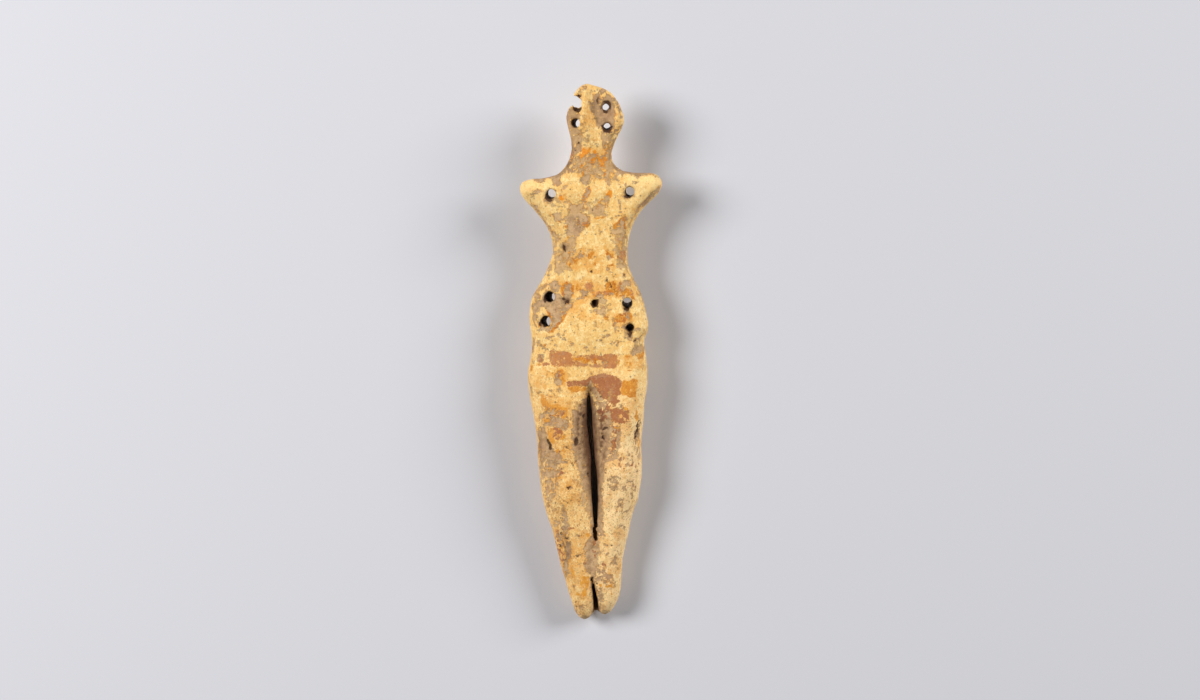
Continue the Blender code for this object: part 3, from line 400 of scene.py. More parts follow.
BELLY_MARKS = (
    BARE(15.1, 1.9, 0.45, 5.4, -33), BARE(16.2, 0.5, 2.8, 2.4, 10), BARE(14.2, -0.9, 1.6, 1.8),
    OCHRE(12.3, -2.2, 2.8, 1.3), OCHRE(17.2, -1.7, 1, 2.4), OCHRE(15.6, -1.4, 1.4, 0.7, 20),
    OCHRE(13.2, -6.4, 1, 1.2, 0, 0.5), THIN(16.6, 1.4, 2, 3), BARE(-10.8, 5.5, 0.8, 1.6, 0, 0.8),
    BARE(-9.2, 5, 0.6, 1.6, 0, 0.8), BARE(-14.6, 4.6, 0.9, 0.8), BARE(-13, 3.3, 0.8, 0.6, 0, 0.7),
    BARE(-6.3, 2.4, 1.5, 0.7, -20), BARE(-1.8, 0.7, 0.9, 1), BARE(-11.8, 1.7, 0.5, 0.8),
    BARE(-9.2, 1.7, 0.4, 0.5), BARE(3.9, 4.4, 1.3, 0.8, 0, 0.7), BARE(2.9, 3.1, 1.3, 0.5),
    BARE(7.2, 2.6, 0.7, 0.8), BARE(8.8, 2.3, 1, 2.2, 0, 0.7), BARE(7.2, 1, 1.5, 1, 0, 0.6),
    BARE(3.2, -0.6, 0.6, 0.8, 0, 0.7), BARE(-16.3, 1.2, 2.7, 0.8, -28), BARE(-19.2, 3, 0.6, 2),
    BARE(-17.6, 2.6, 0.7, 0.6), BARE(-17, -2.9, 1.7, 2.6, 8), OCHRE(-17.2, -1.6, 0.9, 0.7),
    OCHRE(-15.2, -4.4, 1.8, 0.4), BARE(-19.6, -4, 0.6, 1.6, 0, 0.7),
    RED.field(-14, 0.1, -12.6, 0.4, -11.8, -0.3, -10, -0.4, -8, -0.2, -6.6, -0.8, -5.6, -1.6, -3, -1.7,
        -1, -1.9, -0.4, -1.3, 2.6, -1.4, 3.4, -2, 4.8, -1.3, 9.7, -1.3, 9.4, -4.6, 8.6, -5.1, 8.4, -6.3,
        5.3, -6.1, 3, -5.7, 0, -5.5, -2, -5.2, -5, -5.2, -8, -5.6, -10.4, -5.5, -12, -5.1, -13.4, -4.6,
        -13.9, -2.8), OCHRE(-3.4, -3, 3.6, 1.6), OCHRE(1.4, -2.9, 3.8, 1.6, -10), OCHRE(-5.3, -3.3, 0.8, 2.6),
    OCHRE(-13.9, -2, 0.5, 3), SLIP(-1.1, -4, 2.6, 1, -8), SLIP(2.2, -3.7, 1.5, 0.8, -25),
    SLIP(0.4, -4.6, 0.8, 0.5), SLIP(-10.9, -4.2, 0.6, 1.5, -15), OCHRE(9.2, -3.6, 0.5, 2.4),
    OCHRE(0.8, -4.1, 1, 0.6), BARE(4.4, -4.4, 2.2, 1.6, 0, 0.35), OCHRE(-10.6, -8.9, 3.4, 5.2),
    BARE(-11, -10.1, 1.7, 3.6), RED(-10.7, -8, 1.3, 2.4), SLIP(-9.9, -9.2, 0.5, 1.6),
    OCHRE(-13, -7.6, 1.6, 0.3, -20), BARE(0.4, -7.9, 1.4, 0.8, 0, 0.6),
    RED.field(-8.2, -10.2, -6, -9.9, -3.6, -10.1, -1.6, -9.7, 0, -8.6, 1.5, -8, 4, -7.8, 6.5, -8, 8.6, -8.6,
        9.8, -9.8, 10.4, -11, 10.2, -14.8, 8.8, -15.6, 9.4, -17, 8.2, -18, 6, -17.8, 5.2, -16.4, 4, -16,
        3.4, -14.8, 2, -13.4, 0.6, -12, 0, -11, -1.2, -12, -3, -12.6, -5.5, -12.2, -7.8, -12),
    OCHRE(-4.6, -12.5, 5.4, 1, -4), OCHRE(-6.3, -13.4, 1, 2.6, 10), OCHRE(-2.4, -13, 1.8, 1.4),
    OCHRE(1.8, -11.9, 1.2, 1.8, 10), OCHRE(-7.9, -12.6, 0.6, 1), SLIP(-3.4, -12.8, 0.5, 0.9),
    OCHRE.field(10.2, -11.2, 11, -9.9, 12, -10.4, 13.4, -10.1, 14.2, -9.7, 15.7, -9.7, 15.5, -12.3,
        15.1, -15.8, 13.2, -15.7, 11.5, -15, 10, -14.9, 9.5, -13.5), SLIP(13.5, -13.5, 0.5, 1.6, 12),
    BARE.field(-0.4, -9.8, 0.4, -12, 1.6, -13.2, 3, -14.4, 2.2, -15.4, 0.8, -14.8, -0.4, -13),
    BARE(3.2, -15.2, 0.6, 1), RED(2.6, -17.6, 0.5, 1.6, 15), BARE(10.3, -18.7, 0.9, 1.3, 20),
    RED.field(1.2, -15.6, 3.4, -15.2, 6, -17, 8.6, -17.4, 9.2, -18.6, 7.6, -19.6, 4, -19.4, 1.4, -20,
        cover=0.6), BARE.field(1, -16.4, 3.6, -16, 5.6, -17.6, 4.6, -19.6, 1.6, -20.2, cover=0.55),
    OCHRE.field(-8, -12.2, -4.4, -12.2, -1.8, -12, -1.7, -13.6, -3.4, -13.2, -5, -14, -6.2, -13.6,
        -7.6, -13.4, cover=0.9), OCHRE(-4.2, -2.6, 3.4, 1.2), OCHRE(-1.6, -3.6, 2.8, 2),
    SLIP(-0.6, -4.4, 2.4, 1, -8), OCHRE(1.8, -3.4, 3, 2, -10), SLIP(2.4, -3.8, 1.4, 0.9, -25),
    OCHRE(9.3, -3.6, 0.8, 3.4), OCHRE(-6, -3, 0.9, 2.8), SLIP(-2.9, -3.9, 1, 0.8), SLIP(-9, -2.6, 0.8, 0.9),
    OCHRE(-12.4, -5.2, 1.6, 0.6), SLIP(-11.6, -4.6, 0.9, 1.4, -15), RED(-15.4, -4.4, 2.6, 0.8),
    RED(-17, -3.4, 1.6, 2.2), OCHRE(-17, -4.8, 1.8, 0.6), OCHRE(-19.9, -5.6, 0.8, 2.4),
    OCHRE(12.6, -2.4, 2.6, 0.9), OCHRE(16.6, -1.9, 2.2, 1.4, 30), OCHRE(12.8, -4.4, 1.8, 2.2, 0, 0.6),
    OCHRE(15.2, -4, 2.2, 1.8, 0, 0.5), BARE(16, 0.4, 3.6, 2.4, 15), OCHRE(13, -6.6, 1.8, 1.2, 0, 0.6),
    OCHRE(-10.9, -7.3, 2.8, 1), OCHRE(-9, -9.8, 0.9, 3), BARE(-11.2, -9.6, 2, 4.2),
    RED(-10.8, -8.2, 1.4, 1.8), OCHRE(-12.3, -8.2, 1, 0.7), BARE(0, -7.9, 1.4, 0.8), STAIN(14, -3.5, 7, 6),
    STAIN(-17, -9, 6, 10), STAIN(-10, -9, 6, 7), STAIN(13, -18, 7, 5), SOIL_AND_SHADE(-0.4, -13.4, 3.4, 4.6),
    BARE(10.2, -19, 1, 1.6, 20), BARE(-13.6, 4.4, 1.6, 0.9, 20), BARE(6.2, 5.2, 1, 0.8),
    BARE(4.8, 6.6, 0.9, 0.5, 20), OCHRE(-15.6, 1.8, 0.8, 0.9), BARE(-19.6, 0.6, 0.7, 2.2),
)

THIGH_MARKS = (
    BARE(-17.8, -14, 1, 1, 0, 0.6), BARE(-20.2, -12.6, 0.4, 2.6, 5), BARE(-10.7, -13.4, 1.6, 1, 0, 0.7),
    BARE(-14, -15.5, 1.1, 0.5, 0, 0.8), BARE(-7.2, -16.8, 2.4, 2.2, 0, 0.3), BARE(-13.3, -13.6, 0.5, 0.4),
    OCHRE(-16.2, -16.4, 1.1, 3.8, 8), OCHRE(-15, -18.5, 2.2, 1.2, -20), OCHRE(-12.6, -18.5, 2.8, 0.9, 12),
    BARE(-14, -20.3, 3.6, 2.6, 0, 0.85), RED(-13.2, -21.8, 2.6, 2.8, 0, 0.85), OCHRE(-11.1, -20.4, 2.2, 2.6),
    RED(-9, -21.7, 2.4, 3.4), OCHRE(-9.4, -19.2, 2.8, 0.4, -12), BARE(-16.3, -22.6, 2.2, 3.4, 0, 0.6),
    BARE.field(-13.6, -23.2, -11, -22.4, -10, -23.4, -8.4, -24.2, -7.2, -25.5, -8.5, -27.2, -10, -26.8,
        -11.8, -25.8, -14, -25.4, cover=0.92), RED(-11.3, -27.6, 3.4, 4.2, 0, 0.95),
    OCHRE(-9.6, -29.1, 2, 0.7, 10), OCHRE(-13.9, -28.7, 1, 6.2, 14),
    BARE.field(-18.2, -25.8, -15.4, -26, -15, -28, -14.6, -30.5, -13, -33, -11.6, -35.4, -11.2, -38.6,
        -12, -40, -12.6, -42.5, -14, -43, -16.8, -41.5, -17.2, -36, -17.6, -30, cover=0.97),
    SLIP.field(-17, -35, -13.6, -36, -12, -38, -12.4, -43, -16.4, -43, cover=0.3),
    BARE.field(-17, -41, -11.5, -40, -12, -46, -12.5, -50.5, -14.6, -51, -16.2, -46, cover=0.5),
    BARE.field(-6.4, -19.8, -4.8, -20, -3, -17.5, -1.2, -14.6, -0.4, -15, -0.2, -20, -0.1, -26, 0.4, -30,
        1.2, -35, 1.5, -42, 1.7, -50, 1.9, -57, 1.7, -62, 1.1, -60, 0.4, -54, -1.3, -49, -3.2, -45, -3.9, -41,
        -5.2, -38, -5.4, -36, -6.3, -33, -6.5, -29, -6.3, -25, cover=0.97),
    BARE.field(-1.1, -14.6, -0.1, -14.4, 1, -17, 1.6, -19.5, 3, -20.6, 5.8, -20, 6.8, -22.5, 7.2, -25,
        6.8, -28, 6, -32, 5.4, -36, 4.6, -38.5, 4.8, -41, 3.4, -46, 2.6, -52, 2.2, -60, 1, -60, 0.8, -50,
        0.6, -42, 0.4, -35, -0.5, -30, -1, -25, -1.1, -20, cover=0.97), RED(3.6, -20.5, 3.4, 1.8, -5, 0.9),
    RED(7.2, -16.8, 3.2, 2.2, -20),
    RED.field(6.2, -19.4, 9.2, -19.4, 10, -20.6, 12.6, -20.4, 12.9, -22, 12.4, -23.3, 11.2, -22.6, 10.8, -24,
        9, -24.4, 7, -24.2, 6.6, -22), OCHRE(6.8, -22.2, 0.5, 2.6, 8), OCHRE(12.7, -21.8, 0.6, 2.2),
    OCHRE(15.4, -22.3, 0.9, 2.8), BARE(13.8, -22.8, 0.5, 0.4), OCHRE(16.3, -31.5, 0.9, 3.4, 0, 0.9),
    STAIN.field(6, -24, 10.4, -24, 10.4, -30, 9, -35, 13.8, -38, 12.6, -42, 8, -40, 6, -33),
    RED(7.6, -31.4, 2.4, 1.8, 0, 0.7), BARE(7.3, -34, 1.8, 3.2, 10, 0.85), BARE(9.4, -28.2, 1.2, 2, 20, 0.6),
    BARE(12, -38, 4.6, 6.4, -20, 0.3), RED(10.6, -38, 3, 4.4, 0, 0.4), BARE(15.2, -40.8, 1.6, 0.7, 30),
    BARE(14.2, -46, 2, 2, 0, 0.4), RED(-9.5, -39, 3.6, 7, 0, 0.36), BARE(-10.4, -36.4, 2.4, 3.4, 25, 0.55),
    RED(-10, -34, 2, 2, 0, 0.5), BARE(-8.1, -32.7, 1.4, 0.5, -15), BARE(-7.4, -46.3, 1.5, 1.5, 0, 0.8),
    BARE(3.8, -43, 1.2, 5, -10, 0.6), BARE(15.5, -27, 0.9, 5, -12), THIN(-4.5, -45, 3, 6),
    BARE(-10.8, -41.2, 1.2, 1.6, 0, 0.6), BARE(-8.6, -24.2, 1.6, 1.2, 0, 0.6), BARE(-11.2, -45, 3, 1, 0, 0.4),
    OCHRE.field(-15.6, -15.4, -14.6, -15, -14.4, -17.4, -12.8, -18.4, -10.4, -18, -9.4, -19, -7.6, -19.6,
        -8, -22.4, -10.2, -23.2, -11.4, -21.6, -12.8, -23, -15, -20.4, -16.8, -18.2, -16.6, -16.2,
        cover=0.85), RED(-10.6, -21.2, 3, 2.6, 0, 0.8), BARE(-13.6, -20.6, 2.6, 2, 0, 0.7),
    SLIP(-12.2, -19.8, 0.8, 0.9),
    BARE.field(-17.4, -22, -14.2, -22.4, -10.4, -23.4, -7.4, -23, -7, -25, -9.4, -26.2, -13, -25.2,
        -16.4, -25.4, cover=0.55), OCHRE(-14.6, -23.6, 3, 1.6, -20, 0.6), SLIP(-12, -24.6, 2.6, 1.2, 25, 0.6),
    SLIP(-16, -24.2, 1.2, 2.6, 0, 0.7), RED(-9.6, -24.4, 2.2, 1.6, 0, 0.5),
    OCHRE.field(-13.4, -26.4, -11, -26, -9.4, -27, -9.2, -29.8, -11.4, -30.2, -13, -29.2, cover=0.9),
    RED(-11.2, -28, 3.6, 3.8, 0, 0.8), OCHRE(-13.4, -29.4, 1.4, 4.6, 14), OCHRE(-10.2, -26.4, 2.2, 0.8),
    OCHRE(-11.6, -33.4, 1.2, 3, 0, 0.8), OCHRE(-9.8, -34, 1.8, 2.2, 0, 0.6), BARE(-9.6, -38.6, 3, 6, 0, 0.4),
    OCHRE(-10, -41.5, 2.6, 4, 0, 0.3), RED(-9.4, -40.5, 3.2, 4.6, 0, 0.3),
    STAIN.field(-16, -14, -7, -16, -6.6, -34, -8, -44, -13, -44, -11.6, -34, -16, -24),
    SLIP.field(-6.9, -35, -5.9, -34.6, -4.6, -38.4, -3.8, -42, -3, -46, -4.6, -48, -5.6, -44, -6.8, -40),
    SLIP.field(-6.6, -20.4, -7.4, -24, -7.4, -30, -7.6, -33.6, -6.7, -33.4, -6.3, -27),
    STAIN.field(5.6, -19, 13.8, -19, 13.6, -27, 10.6, -33, 13.6, -38, 12, -44, 5, -40, 6.4, -30),
    BARE.field(6.2, -24.6, 9.6, -24.2, 10.2, -28, 9.4, -31, 9, -36, 5.4, -38.6, 6, -30, cover=0.72),
    RED.field(6.4, -24.4, 9.4, -24, 9.8, -27, 8.6, -30, 8.8, -33, 6.4, -36, cover=0.62),
    RED.field(6, -19.2, 12.8, -20.2, 12.6, -23.6, 10, -24.6, 6.6, -24, cover=0.9), OCHRE(11.6, -19.4, 2, 0.9),
    RED.field(1.4, -20, 5.6, -19.6, 6.2, -22, 5.2, -25, 2.4, -24, cover=0.6),
    OCHRE(8.4, -26.2, 2.2, 2.2, 0, 0.3), OCHRE(15.2, -21.8, 1.3, 3.6), OCHRE(10.2, -22.4, 0.9, 1.8),
    SLIP(11.6, -23, 0.7, 1.6, 40), BARE(15.6, -27.4, 1, 7, -12), BARE(16, -34.4, 1, 3, 10, 0.7),
    RED(14.6, -38.4, 2.8, 2.2, 0, 0.5),
    BARE.field(5.8, -43.2, 7, -42, 8.6, -42.4, 9.4, -44, 9, -45.6, 9.4, -46.8, 7.8, -46.6, 6.6, -47.4,
        6.2, -45.8, 5.4, -45, cover=0.68), SLIP(7.4, -44.2, 3.2, 3.2, 0, 0.2),
    BARE(11.4, -46.4, 2.2, 2.2, 0, 0.4), BARE(13.4, -43.8, 1.4, 0.6, 20),
    SOIL_AND_SHADE.field(-2.8, -15.6, -0.6, -12.8, 1.6, -16, 2.6, -24, 3.2, -34, 3.6, -42, 3.2, -50, 2.8, -60, 0.6, -60,
        -0.4, -52, -1.8, -42, -3.4, -34, -4.2, -24),
    SOIL_AND_SHADE.field(-5.4, -18, -2, -16, -1, -30, -0.2, -42, -2.4, -42, -5, -34, -6, -26, cover=0.8),
    SOIL_AND_SHADE.field(1.4, -18, 4.6, -20, 6.2, -26, 5, -36, 3.6, -42, 1.8, -42, cover=0.8), SOIL_AND_SHADE(-17.2, -32, 2, 16),
    SOIL_AND_SHADE(-5, -30.8, 2.2, 3.6), SOIL_AND_SHADE(4.2, -28.4, 2.4, 4.2),
)

CALF_MARKS = (
    THIN.field(-4.5, -47, 0, -47, 0.2, -58, -1, -57, -2.4, -53.5, -4.2, -50.5),
    BARE.field(2.2, -46, 3.6, -47, 3.9, -52, 3.6, -57, 3.8, -60, 4.4, -62.3, 2.6, -63, 2, -60, 2.2, -52,
        cover=0.82),
    BARE.field(-2.8, -48, -0.6, -47, 0.2, -52, 0.2, -57, -0.7, -56, -2, -53.5, -3, -51, cover=0.6),
    BARE.field(-0.2, -62.5, -1.4, -64.2, -2.3, -66, -2.6, -67, -1.6, -69, -1.5, -70.5, -2.3, -72, -1.9, -74.3,
        -0.4, -75, 0.2, -76.2, 1.4, -76.8, 2.6, -76.2, 3.6, -77.2, 2.6, -77.8, 1.6, -77.6, 1.8, -74.6,
        2.6, -73.2, 1.9, -71, 2, -69, 2.8, -67, 2.6, -64.6, 1.8, -63),
    RED.field(0.7, -63.4, 1.6, -63.4, 1.9, -68, 1.3, -71, 0.6, -69, 0.3, -66, cover=0.6),
    SLIP(-1.7, -67.6, 0.9, 2, 10, 0.5), SLIP(1.9, -72.4, 0.6, 2.4, 0, 0.7),
    RED(-1.9, -71.4, 0.9, 2.8, 0, 0.8), STAIN(1.2, -65, 2, 5),
    STAIN.field(-12.4, -57.5, -8.6, -61, -7.8, -75, -10.5, -73, -13, -62), RED(-9.9, -65.8, 2.2, 12, 12, 0.5),
    OCHRE(-9.4, -67.4, 1.4, 3.4, 8, 0.7), OCHRE(-9.1, -73.8, 0.8, 3, 8), BARE(-7.6, -67, 2, 4.8),
    BARE(-8.3, -72.7, 1.1, 4.6, 5), BARE(-8.2, -61.6, 0.9, 5, 0, 0.85), BARE(-9.8, -61.8, 1.2, 1.6, 0, 0.7),
    BARE(-8.8, -54.4, 1.1, 2.4, 0, 0.8), BARE(-11.7, -58.2, 1.8, 2, 0, 0.75),
    BARE(-13, -48.4, 2.6, 2.6, 0, 0.7), BARE(-14.3, -51.6, 1.2, 1.6, 0, 0.7), RED(-6.2, -60, 2.4, 0.7),
    RED(-4.2, -58.8, 0.9, 0.4, 30), RED(-9.6, -60.2, 2.2, 1.2, 0, 0.6), BARE(-4.2, -69.2, 2, 0.7, 15),
    BARE(-3.7, -62.5, 0.9, 0.4), STAIN(-3.5, -62.5, 8, 5), OCHRE(-1, -62.2, 1.1, 1.8, 20, 0.6),
    STAIN(-2.2, -77.5, 3.6, 7), OCHRE(-1.7, -77.3, 1.8, 4.6, 0, 0.62), OCHRE(-2.3, -82, 1.1, 2.8),
    OCHRE(-4.3, -81.7, 1, 0.9), BARE(8, -71.9, 1.3, 2.6, 0, 0.5), RED(4.3, -72.3, 1.3, 1.6),
    RED(3.9, -74.4, 1, 1.5), STAIN(8, -73, 5, 8), BARE(5.7, -76, 2.4, 1.7, 20), BARE(6.7, -78, 2.8, 0.6, -48),
    BARE(2.6, -74.8, 0.9, 0.8), BARE(4.6, -78, 1.6, 0.5, -30), BARE(3.3, -82.4, 1.1, 4.6, 5),
    RED(2.4, -81.5, 1.1, 3, 10, 0.4), OCHRE(5.9, -79, 2.2, 0.9, -30, 0.6),
    OCHRE(3.4, -79.1, 1.6, 0.6, 0, 0.7), BARE(9.6, -53, 1.8, 4.2, 0, 0.4), BARE(10, -50.8, 1.6, 2, 0, 0.5),
    BARE(13.2, -49, 1.6, 2.6, 0, 0.45), BARE(12.4, -53.8, 2, 0.5, 36), BARE(10.5, -59.4, 1.8, 1, 0, 0.6),
    STAIN(9.5, -62, 5, 5), BARE(5.4, -68.4, 0.8, 0.6), BARE(5.4, -65.5, 0.8, 0.5),
    BARE(3, -68, 0.6, 1, 0, 0.8), BARE(-3.2, -86.4, 2, 1.6, -30, 0.55), BARE(-4.2, -88.3, 2, 0.8, -35, 0.6),
    BARE(-6, -79.6, 0.5, 0.6), STAIN(-7, -48, 8, 9), THIN(-13.4, -52, 3, 8), BARE(6.4, -48.5, 0.8, 0.6),
    BARE.field(-0.6, -50, 0.4, -50, 1, -56, 1.1, -62, 0.3, -62, -0.4, -57, cover=0.8),
    BARE.field(2.2, -50, 3.6, -50, 3.9, -56, 3.6, -60, 4.4, -62.4, 2, -63, 1.9, -58, cover=0.9),
    SLIP(-0.6, -66.4, 0.5, 1.6), SLIP(2.2, -70.6, 0.5, 2.4, 8), BARE(-7.7, -67.4, 2.4, 5.2),
    BARE(-8.4, -73.2, 1.4, 5.4, 6), BARE(-8.6, -58.6, 1.6, 9, 4, 0.75), RED(-10.4, -66, 2.4, 11, 12, 0.6),
    OCHRE(-9.9, -65, 1.6, 6, 10, 0.6), BARE(-10.2, -63.6, 1.8, 5, 10, 0.6), OCHRE(-2, -77.4, 3, 5.4, 0, 0.6),
    OCHRE(-2.4, -82, 1.4, 3.2, 0, 0.7), OCHRE(-1.6, -80, 0.7, 2.6), OCHRE(-4.4, -81.8, 1.2, 1, 0, 0.7),
    SLIP(-2.9, -78.4, 0.6, 2.2, 5), OCHRE(-6.2, -73.6, 0.8, 4.6, 6, 0.7),
    OCHRE(-4.2, -69.4, 2.4, 1.2, 15, 0.7), BARE(7.9, -71.6, 2.6, 5, -5, 0.4),
    BARE(4.1, -72.4, 1.6, 1.8, 0, 0.8), RED(4.2, -72.2, 1.8, 1.4), OCHRE(6.2, -78.8, 3.6, 2.4, -20, 0.36),
    OCHRE(7.2, -81.4, 1.2, 3, 0, 0.4),
    BARE.field(2, -73.6, 4.4, -73.4, 5.6, -75.2, 7.2, -75.6, 7.4, -77.4, 5, -78, 3, -76.6, 2.2, -75.8,
        cover=0.6), RED.field(1.6, -80, 4, -80.2, 4.2, -83.6, 3.4, -85, 2.2, -82.8, cover=0.35),
    BARE.field(2, -79.6, 4.4, -80.4, 4.2, -84, 3.4, -85.6, 2.4, -82.8, cover=0.4),
    OCHRE(3.6, -79.2, 2.2, 1.2, 0, 0.7), STAIN.field(-12, -60, -2, -61, -1, -84, -5.6, -84, -8.6, -76),
    STAIN(6, -64, 8, 5), BARE(-4.6, -86.6, 2, 2, 0, 0.4), BARE(-4.4, -62.4, 0.9, 0.6), RED(-6.8, -60, 3, 0.8),
    SOIL_AND_SHADE(-8.2, -66, 3.2, 12, 4, 0.8),
    SOIL_AND_SHADE.field(-0.6, -76.2, 1.2, -76.2, 2.2, -82, 3.4, -88, 3, -90, 0.6, -90, 0.2, -86, 0, -81),
    BARE.field(-0.2, -76.6, 0.9, -76.6, 1.5, -80, 2.3, -84, 3, -87, 2.8, -89.5, 1, -89, 0.8, -86, 0.5, -82,
        0.1, -79),
)

FRONT_MARKS = (HEAD_MARKS + NECK_MARKS + CHEST_MARKS + WAIST_MARKS + HIP_MARKS + BELLY_MARKS + THIGH_MARKS
               + CALF_MARKS)

# The pores, pits and cracks of the front, pressed in and painted dark. The large pits on the walls of the
# holes and the cracks at the lower end of the leg gap and the top of the foot groove are painted shade: dark
# colour where the hollow lies in shade.
FRONT_PITS = (
    Pit(2.2, 83.5, 0.6, 1.5, 5, 0.3), Pit(2.7, 85.2, 0.5, 0.9, 30, 0.2), Pit(-4.1, 69.8, 0.9, 0.6, 0, 0.12),
    Pit(-5.2, 67.7, 0.9, 0.5, 30, 0.2), Pit(-9, 34.8, 1, 0.35, -20, 0.25), Pit(-8.6, 33.8, 0.6, 1.1, 15, 0.4),
    Pit(-0.1, 26.4, 0.7, 0.7, 0, 0.4), Pit(5.5, 23.5, 0.3, 3, 23, 0.12), Pit(-9.2, 17.4, 0.9, 0.8, 0, 0.6),
    Pit(-7.9, 16.2, 0.7, 0.9, 0, 0.5), Pit(-8.7, 15.8, 0.9, 0.5, 0, 0.4), Pit(15.3, 3.4, 0.9, 0.6, 0, 0.3),
    Pit(-5, -30.7, 1.2, 2.6, -5, 0.55), Pit(-6.3, -38.2, 0.7, 0.6, 0, 0.5),
    Pit(-4.9, -37.5, 0.5, 1, -30, 0.3), Pit(4.4, -26.6, 1.5, 0.4, 42, 0.3),
    Pit(4.1, -29.3, 0.6, 2.2, 20, 0.6), Pit(15.6, -27, 0.5, 4, -14, 0.35),
    Pit(-14.2, -31.6, 0.9, 3.6, 26, 0.6), Pit(-8, -32.8, 1.3, 0.4, -20, 0.25),
    Pit(-7.5, -46.5, 1.2, 1.2, 0, 0.3), Pit(6.9, -65.9, 0.65, 0.6, 0, 0.5), Pit(2.1, -78.7, 0.6, 0.7, 0, 0.5),
    Pit(-5.1, -86.2, 0.7, 0.4, -30, 0.3), Pit(-5, -84.8, 0.6, 0.5, 0, 0.25),
    Pit(-4.2, -69.2, 1.4, 0.4, 15, 0.2), Pit(-8.4, -63.3, 0.8, 0.8, 30, 0.3),
    Pit(-9.9, -61.6, 0.5, 1, 20, 0.25), Pit(-10.3, -65.6, 0.6, 1.2, 20, 0.25),
    Pit(0.7, 47.4, 0.6, 0.5, 0, 0.2), Pit(-6.2, 6.8, 0.4, 0.4, 0, 0.2), Pit(2.2, 8.4, 0.4, 0.35, 0, 0.2),
    Pit(-5.9, 11.3, 0.4, 0.4, 0, 0.2), Pit(8.1, -47.1, 0.6, 0.5, 0, 0.3), Pit(6, -46.4, 0.6, 0.5, 0, 0.3),
    Pit(-0.6, -42, 0.5, 1.6, 10, 0.3), Pit(3.2, -15.2, 0.4, 0.8, 0, 0.3), Pit(-2.4, -22, 0.6, 1.6, -20, 0.35),
    Pit(-4.2, 85.5, 1.6, 0.6, 10, 0.4), Pit(3.9, -72, 0.3, 0.6, 0, 0.2), Pit(5.6, -65.4, 0.4, 0.3, 0, 0.2),
    Pit(-3.8, -62.5, 0.7, 0.3, 0, 0.2), Pit(11.2, 25.3, 0.5, 0.4, 0, 0.2),
    Pit(-6.6, -50.2, 0.6, 0.3, 30, 0.2), Pit(-9, -50.6, 0.4, 0.6, 0, 0.2),
    Pit(-7.8, -51.2, 0.4, 0.6, 20, 0.2), Pit(5.9, -54.5, 0.6, 0.3, -30, 0.2),
    Pit(13.9, -57.8, 0.3, 0.6, 0, 0.2), Pit(1.25, 15.8, 2.7, 3.1, 0, 0.5), Pit(5.6, 74.1, 2.8, 1.5, -12, 0.4),
    Pit(6.5, 82.3, 0.6, 2.2, -8, 0.2), Pit(4.7, 80.5, 1.8, 0.6, 8, 0.2), Pit(-4.6, 81.9, 2.4, 1.5, 0, 0.4),
    Pit(-14.5, 51.8, 2.2, 2, -40, 0.45), Pit(-13.9, 50.7, 1.8, 1.2, 0, 0.3), Pit(12.2, 52, 2.2, 1, -30, 0.3),
    Pit(13, 5.5, 1.6, 2.2, 0, 0.4), Pit(12.3, 14.2, 1.8, 1.4, 0, 0.35), Pit(-16.9, 9.6, 1.3, 2.6, -10, 0.35),
    Pit(-15, 8.3, 2.2, 0.9, 0, 0.3), Pit(-9.2, 17.6, 1, 0.8, 0, 0.5), Pit(-8.3, 16.5, 1.8, 0.6, 20, 0.3),
    Pit(-15.3, 17.4, 1, 2.4, -12, 0.3),
    Crack(((1.3, -55), (1.45, -57.5), (1.5, -59.5), (1.35, -61.8), (1.25, -63.6)), 0.9, 1.2),
    Crack(((1.5, -58.2), (1.5, -59.6), (1.4, -61.2)), 1, 1.8),
    Crack(((0.35, -76.8), (0.55, -78.2)), 0.6, 0.6),
    Crack(((5.4, 24.6), (6.2, 22.6), (7.2, 20.8), (8.6, 19.4)), 0.3, 0.1),
    Crack(((-14.6, -29.8), (-14.2, -31.4), (-13.6, -33)), 1, 0.5),
    Crack(((16.2, -24), (15.4, -27), (14.8, -29.6)), 0.6, 0.3),
    Crack(((3.6, 81.4), (4.2, 80.5), (5.2, 80.3)), 0.5, 0.3),
    Crack(((4.6, 83.6), (5.6, 83.6), (6.3, 82.8)), 0.5, 0.3),
    Crack(((3.9, 75.4), (4.4, 74.4), (5.8, 74), (6.8, 75.2)), 0.7, 0.4), Pit(-4.7, 81.6, 2.7, 2.4, 0, 0.5),
    Pit(-5, -30.8, 1.5, 2.8, -5, 0.6), Pit(4.5, -26.4, 1.8, 0.8, 45, 0.3), Pit(4, -29.2, 0.8, 2.4, 20, 0.6),
    Pit(-4.4, 85.4, 2, 0.7, 8, 0.4), Pit(2.1, 83.6, 0.7, 1.7, 8, 0.3), Pit(-8.9, 34.5, 1.2, 1.8, 20, 0.4),
)

# Lines in the gap, the groove and the deepest holes along which dirt fills what is walled in.
GATHERED_DIRT = (
    Crack(((0.2, -15), (-0.6, -20), (-0.6, -26), (-0.2, -32), (0.4, -37)), 6, 0.34),
    Crack(((0.3, -78), (0.8, -81), (1.3, -84), (1.7, -86)), 5, 0.3), Crack(((12.9, 9.6), (13, 8.2)), 7, 0.6),
    Crack(((4.9, 82.6), (4.9, 81.6)), 7.6, 0.6), Crack(((5.3, 76.4), (5.4, 75)), 7.6, 0.55),
)


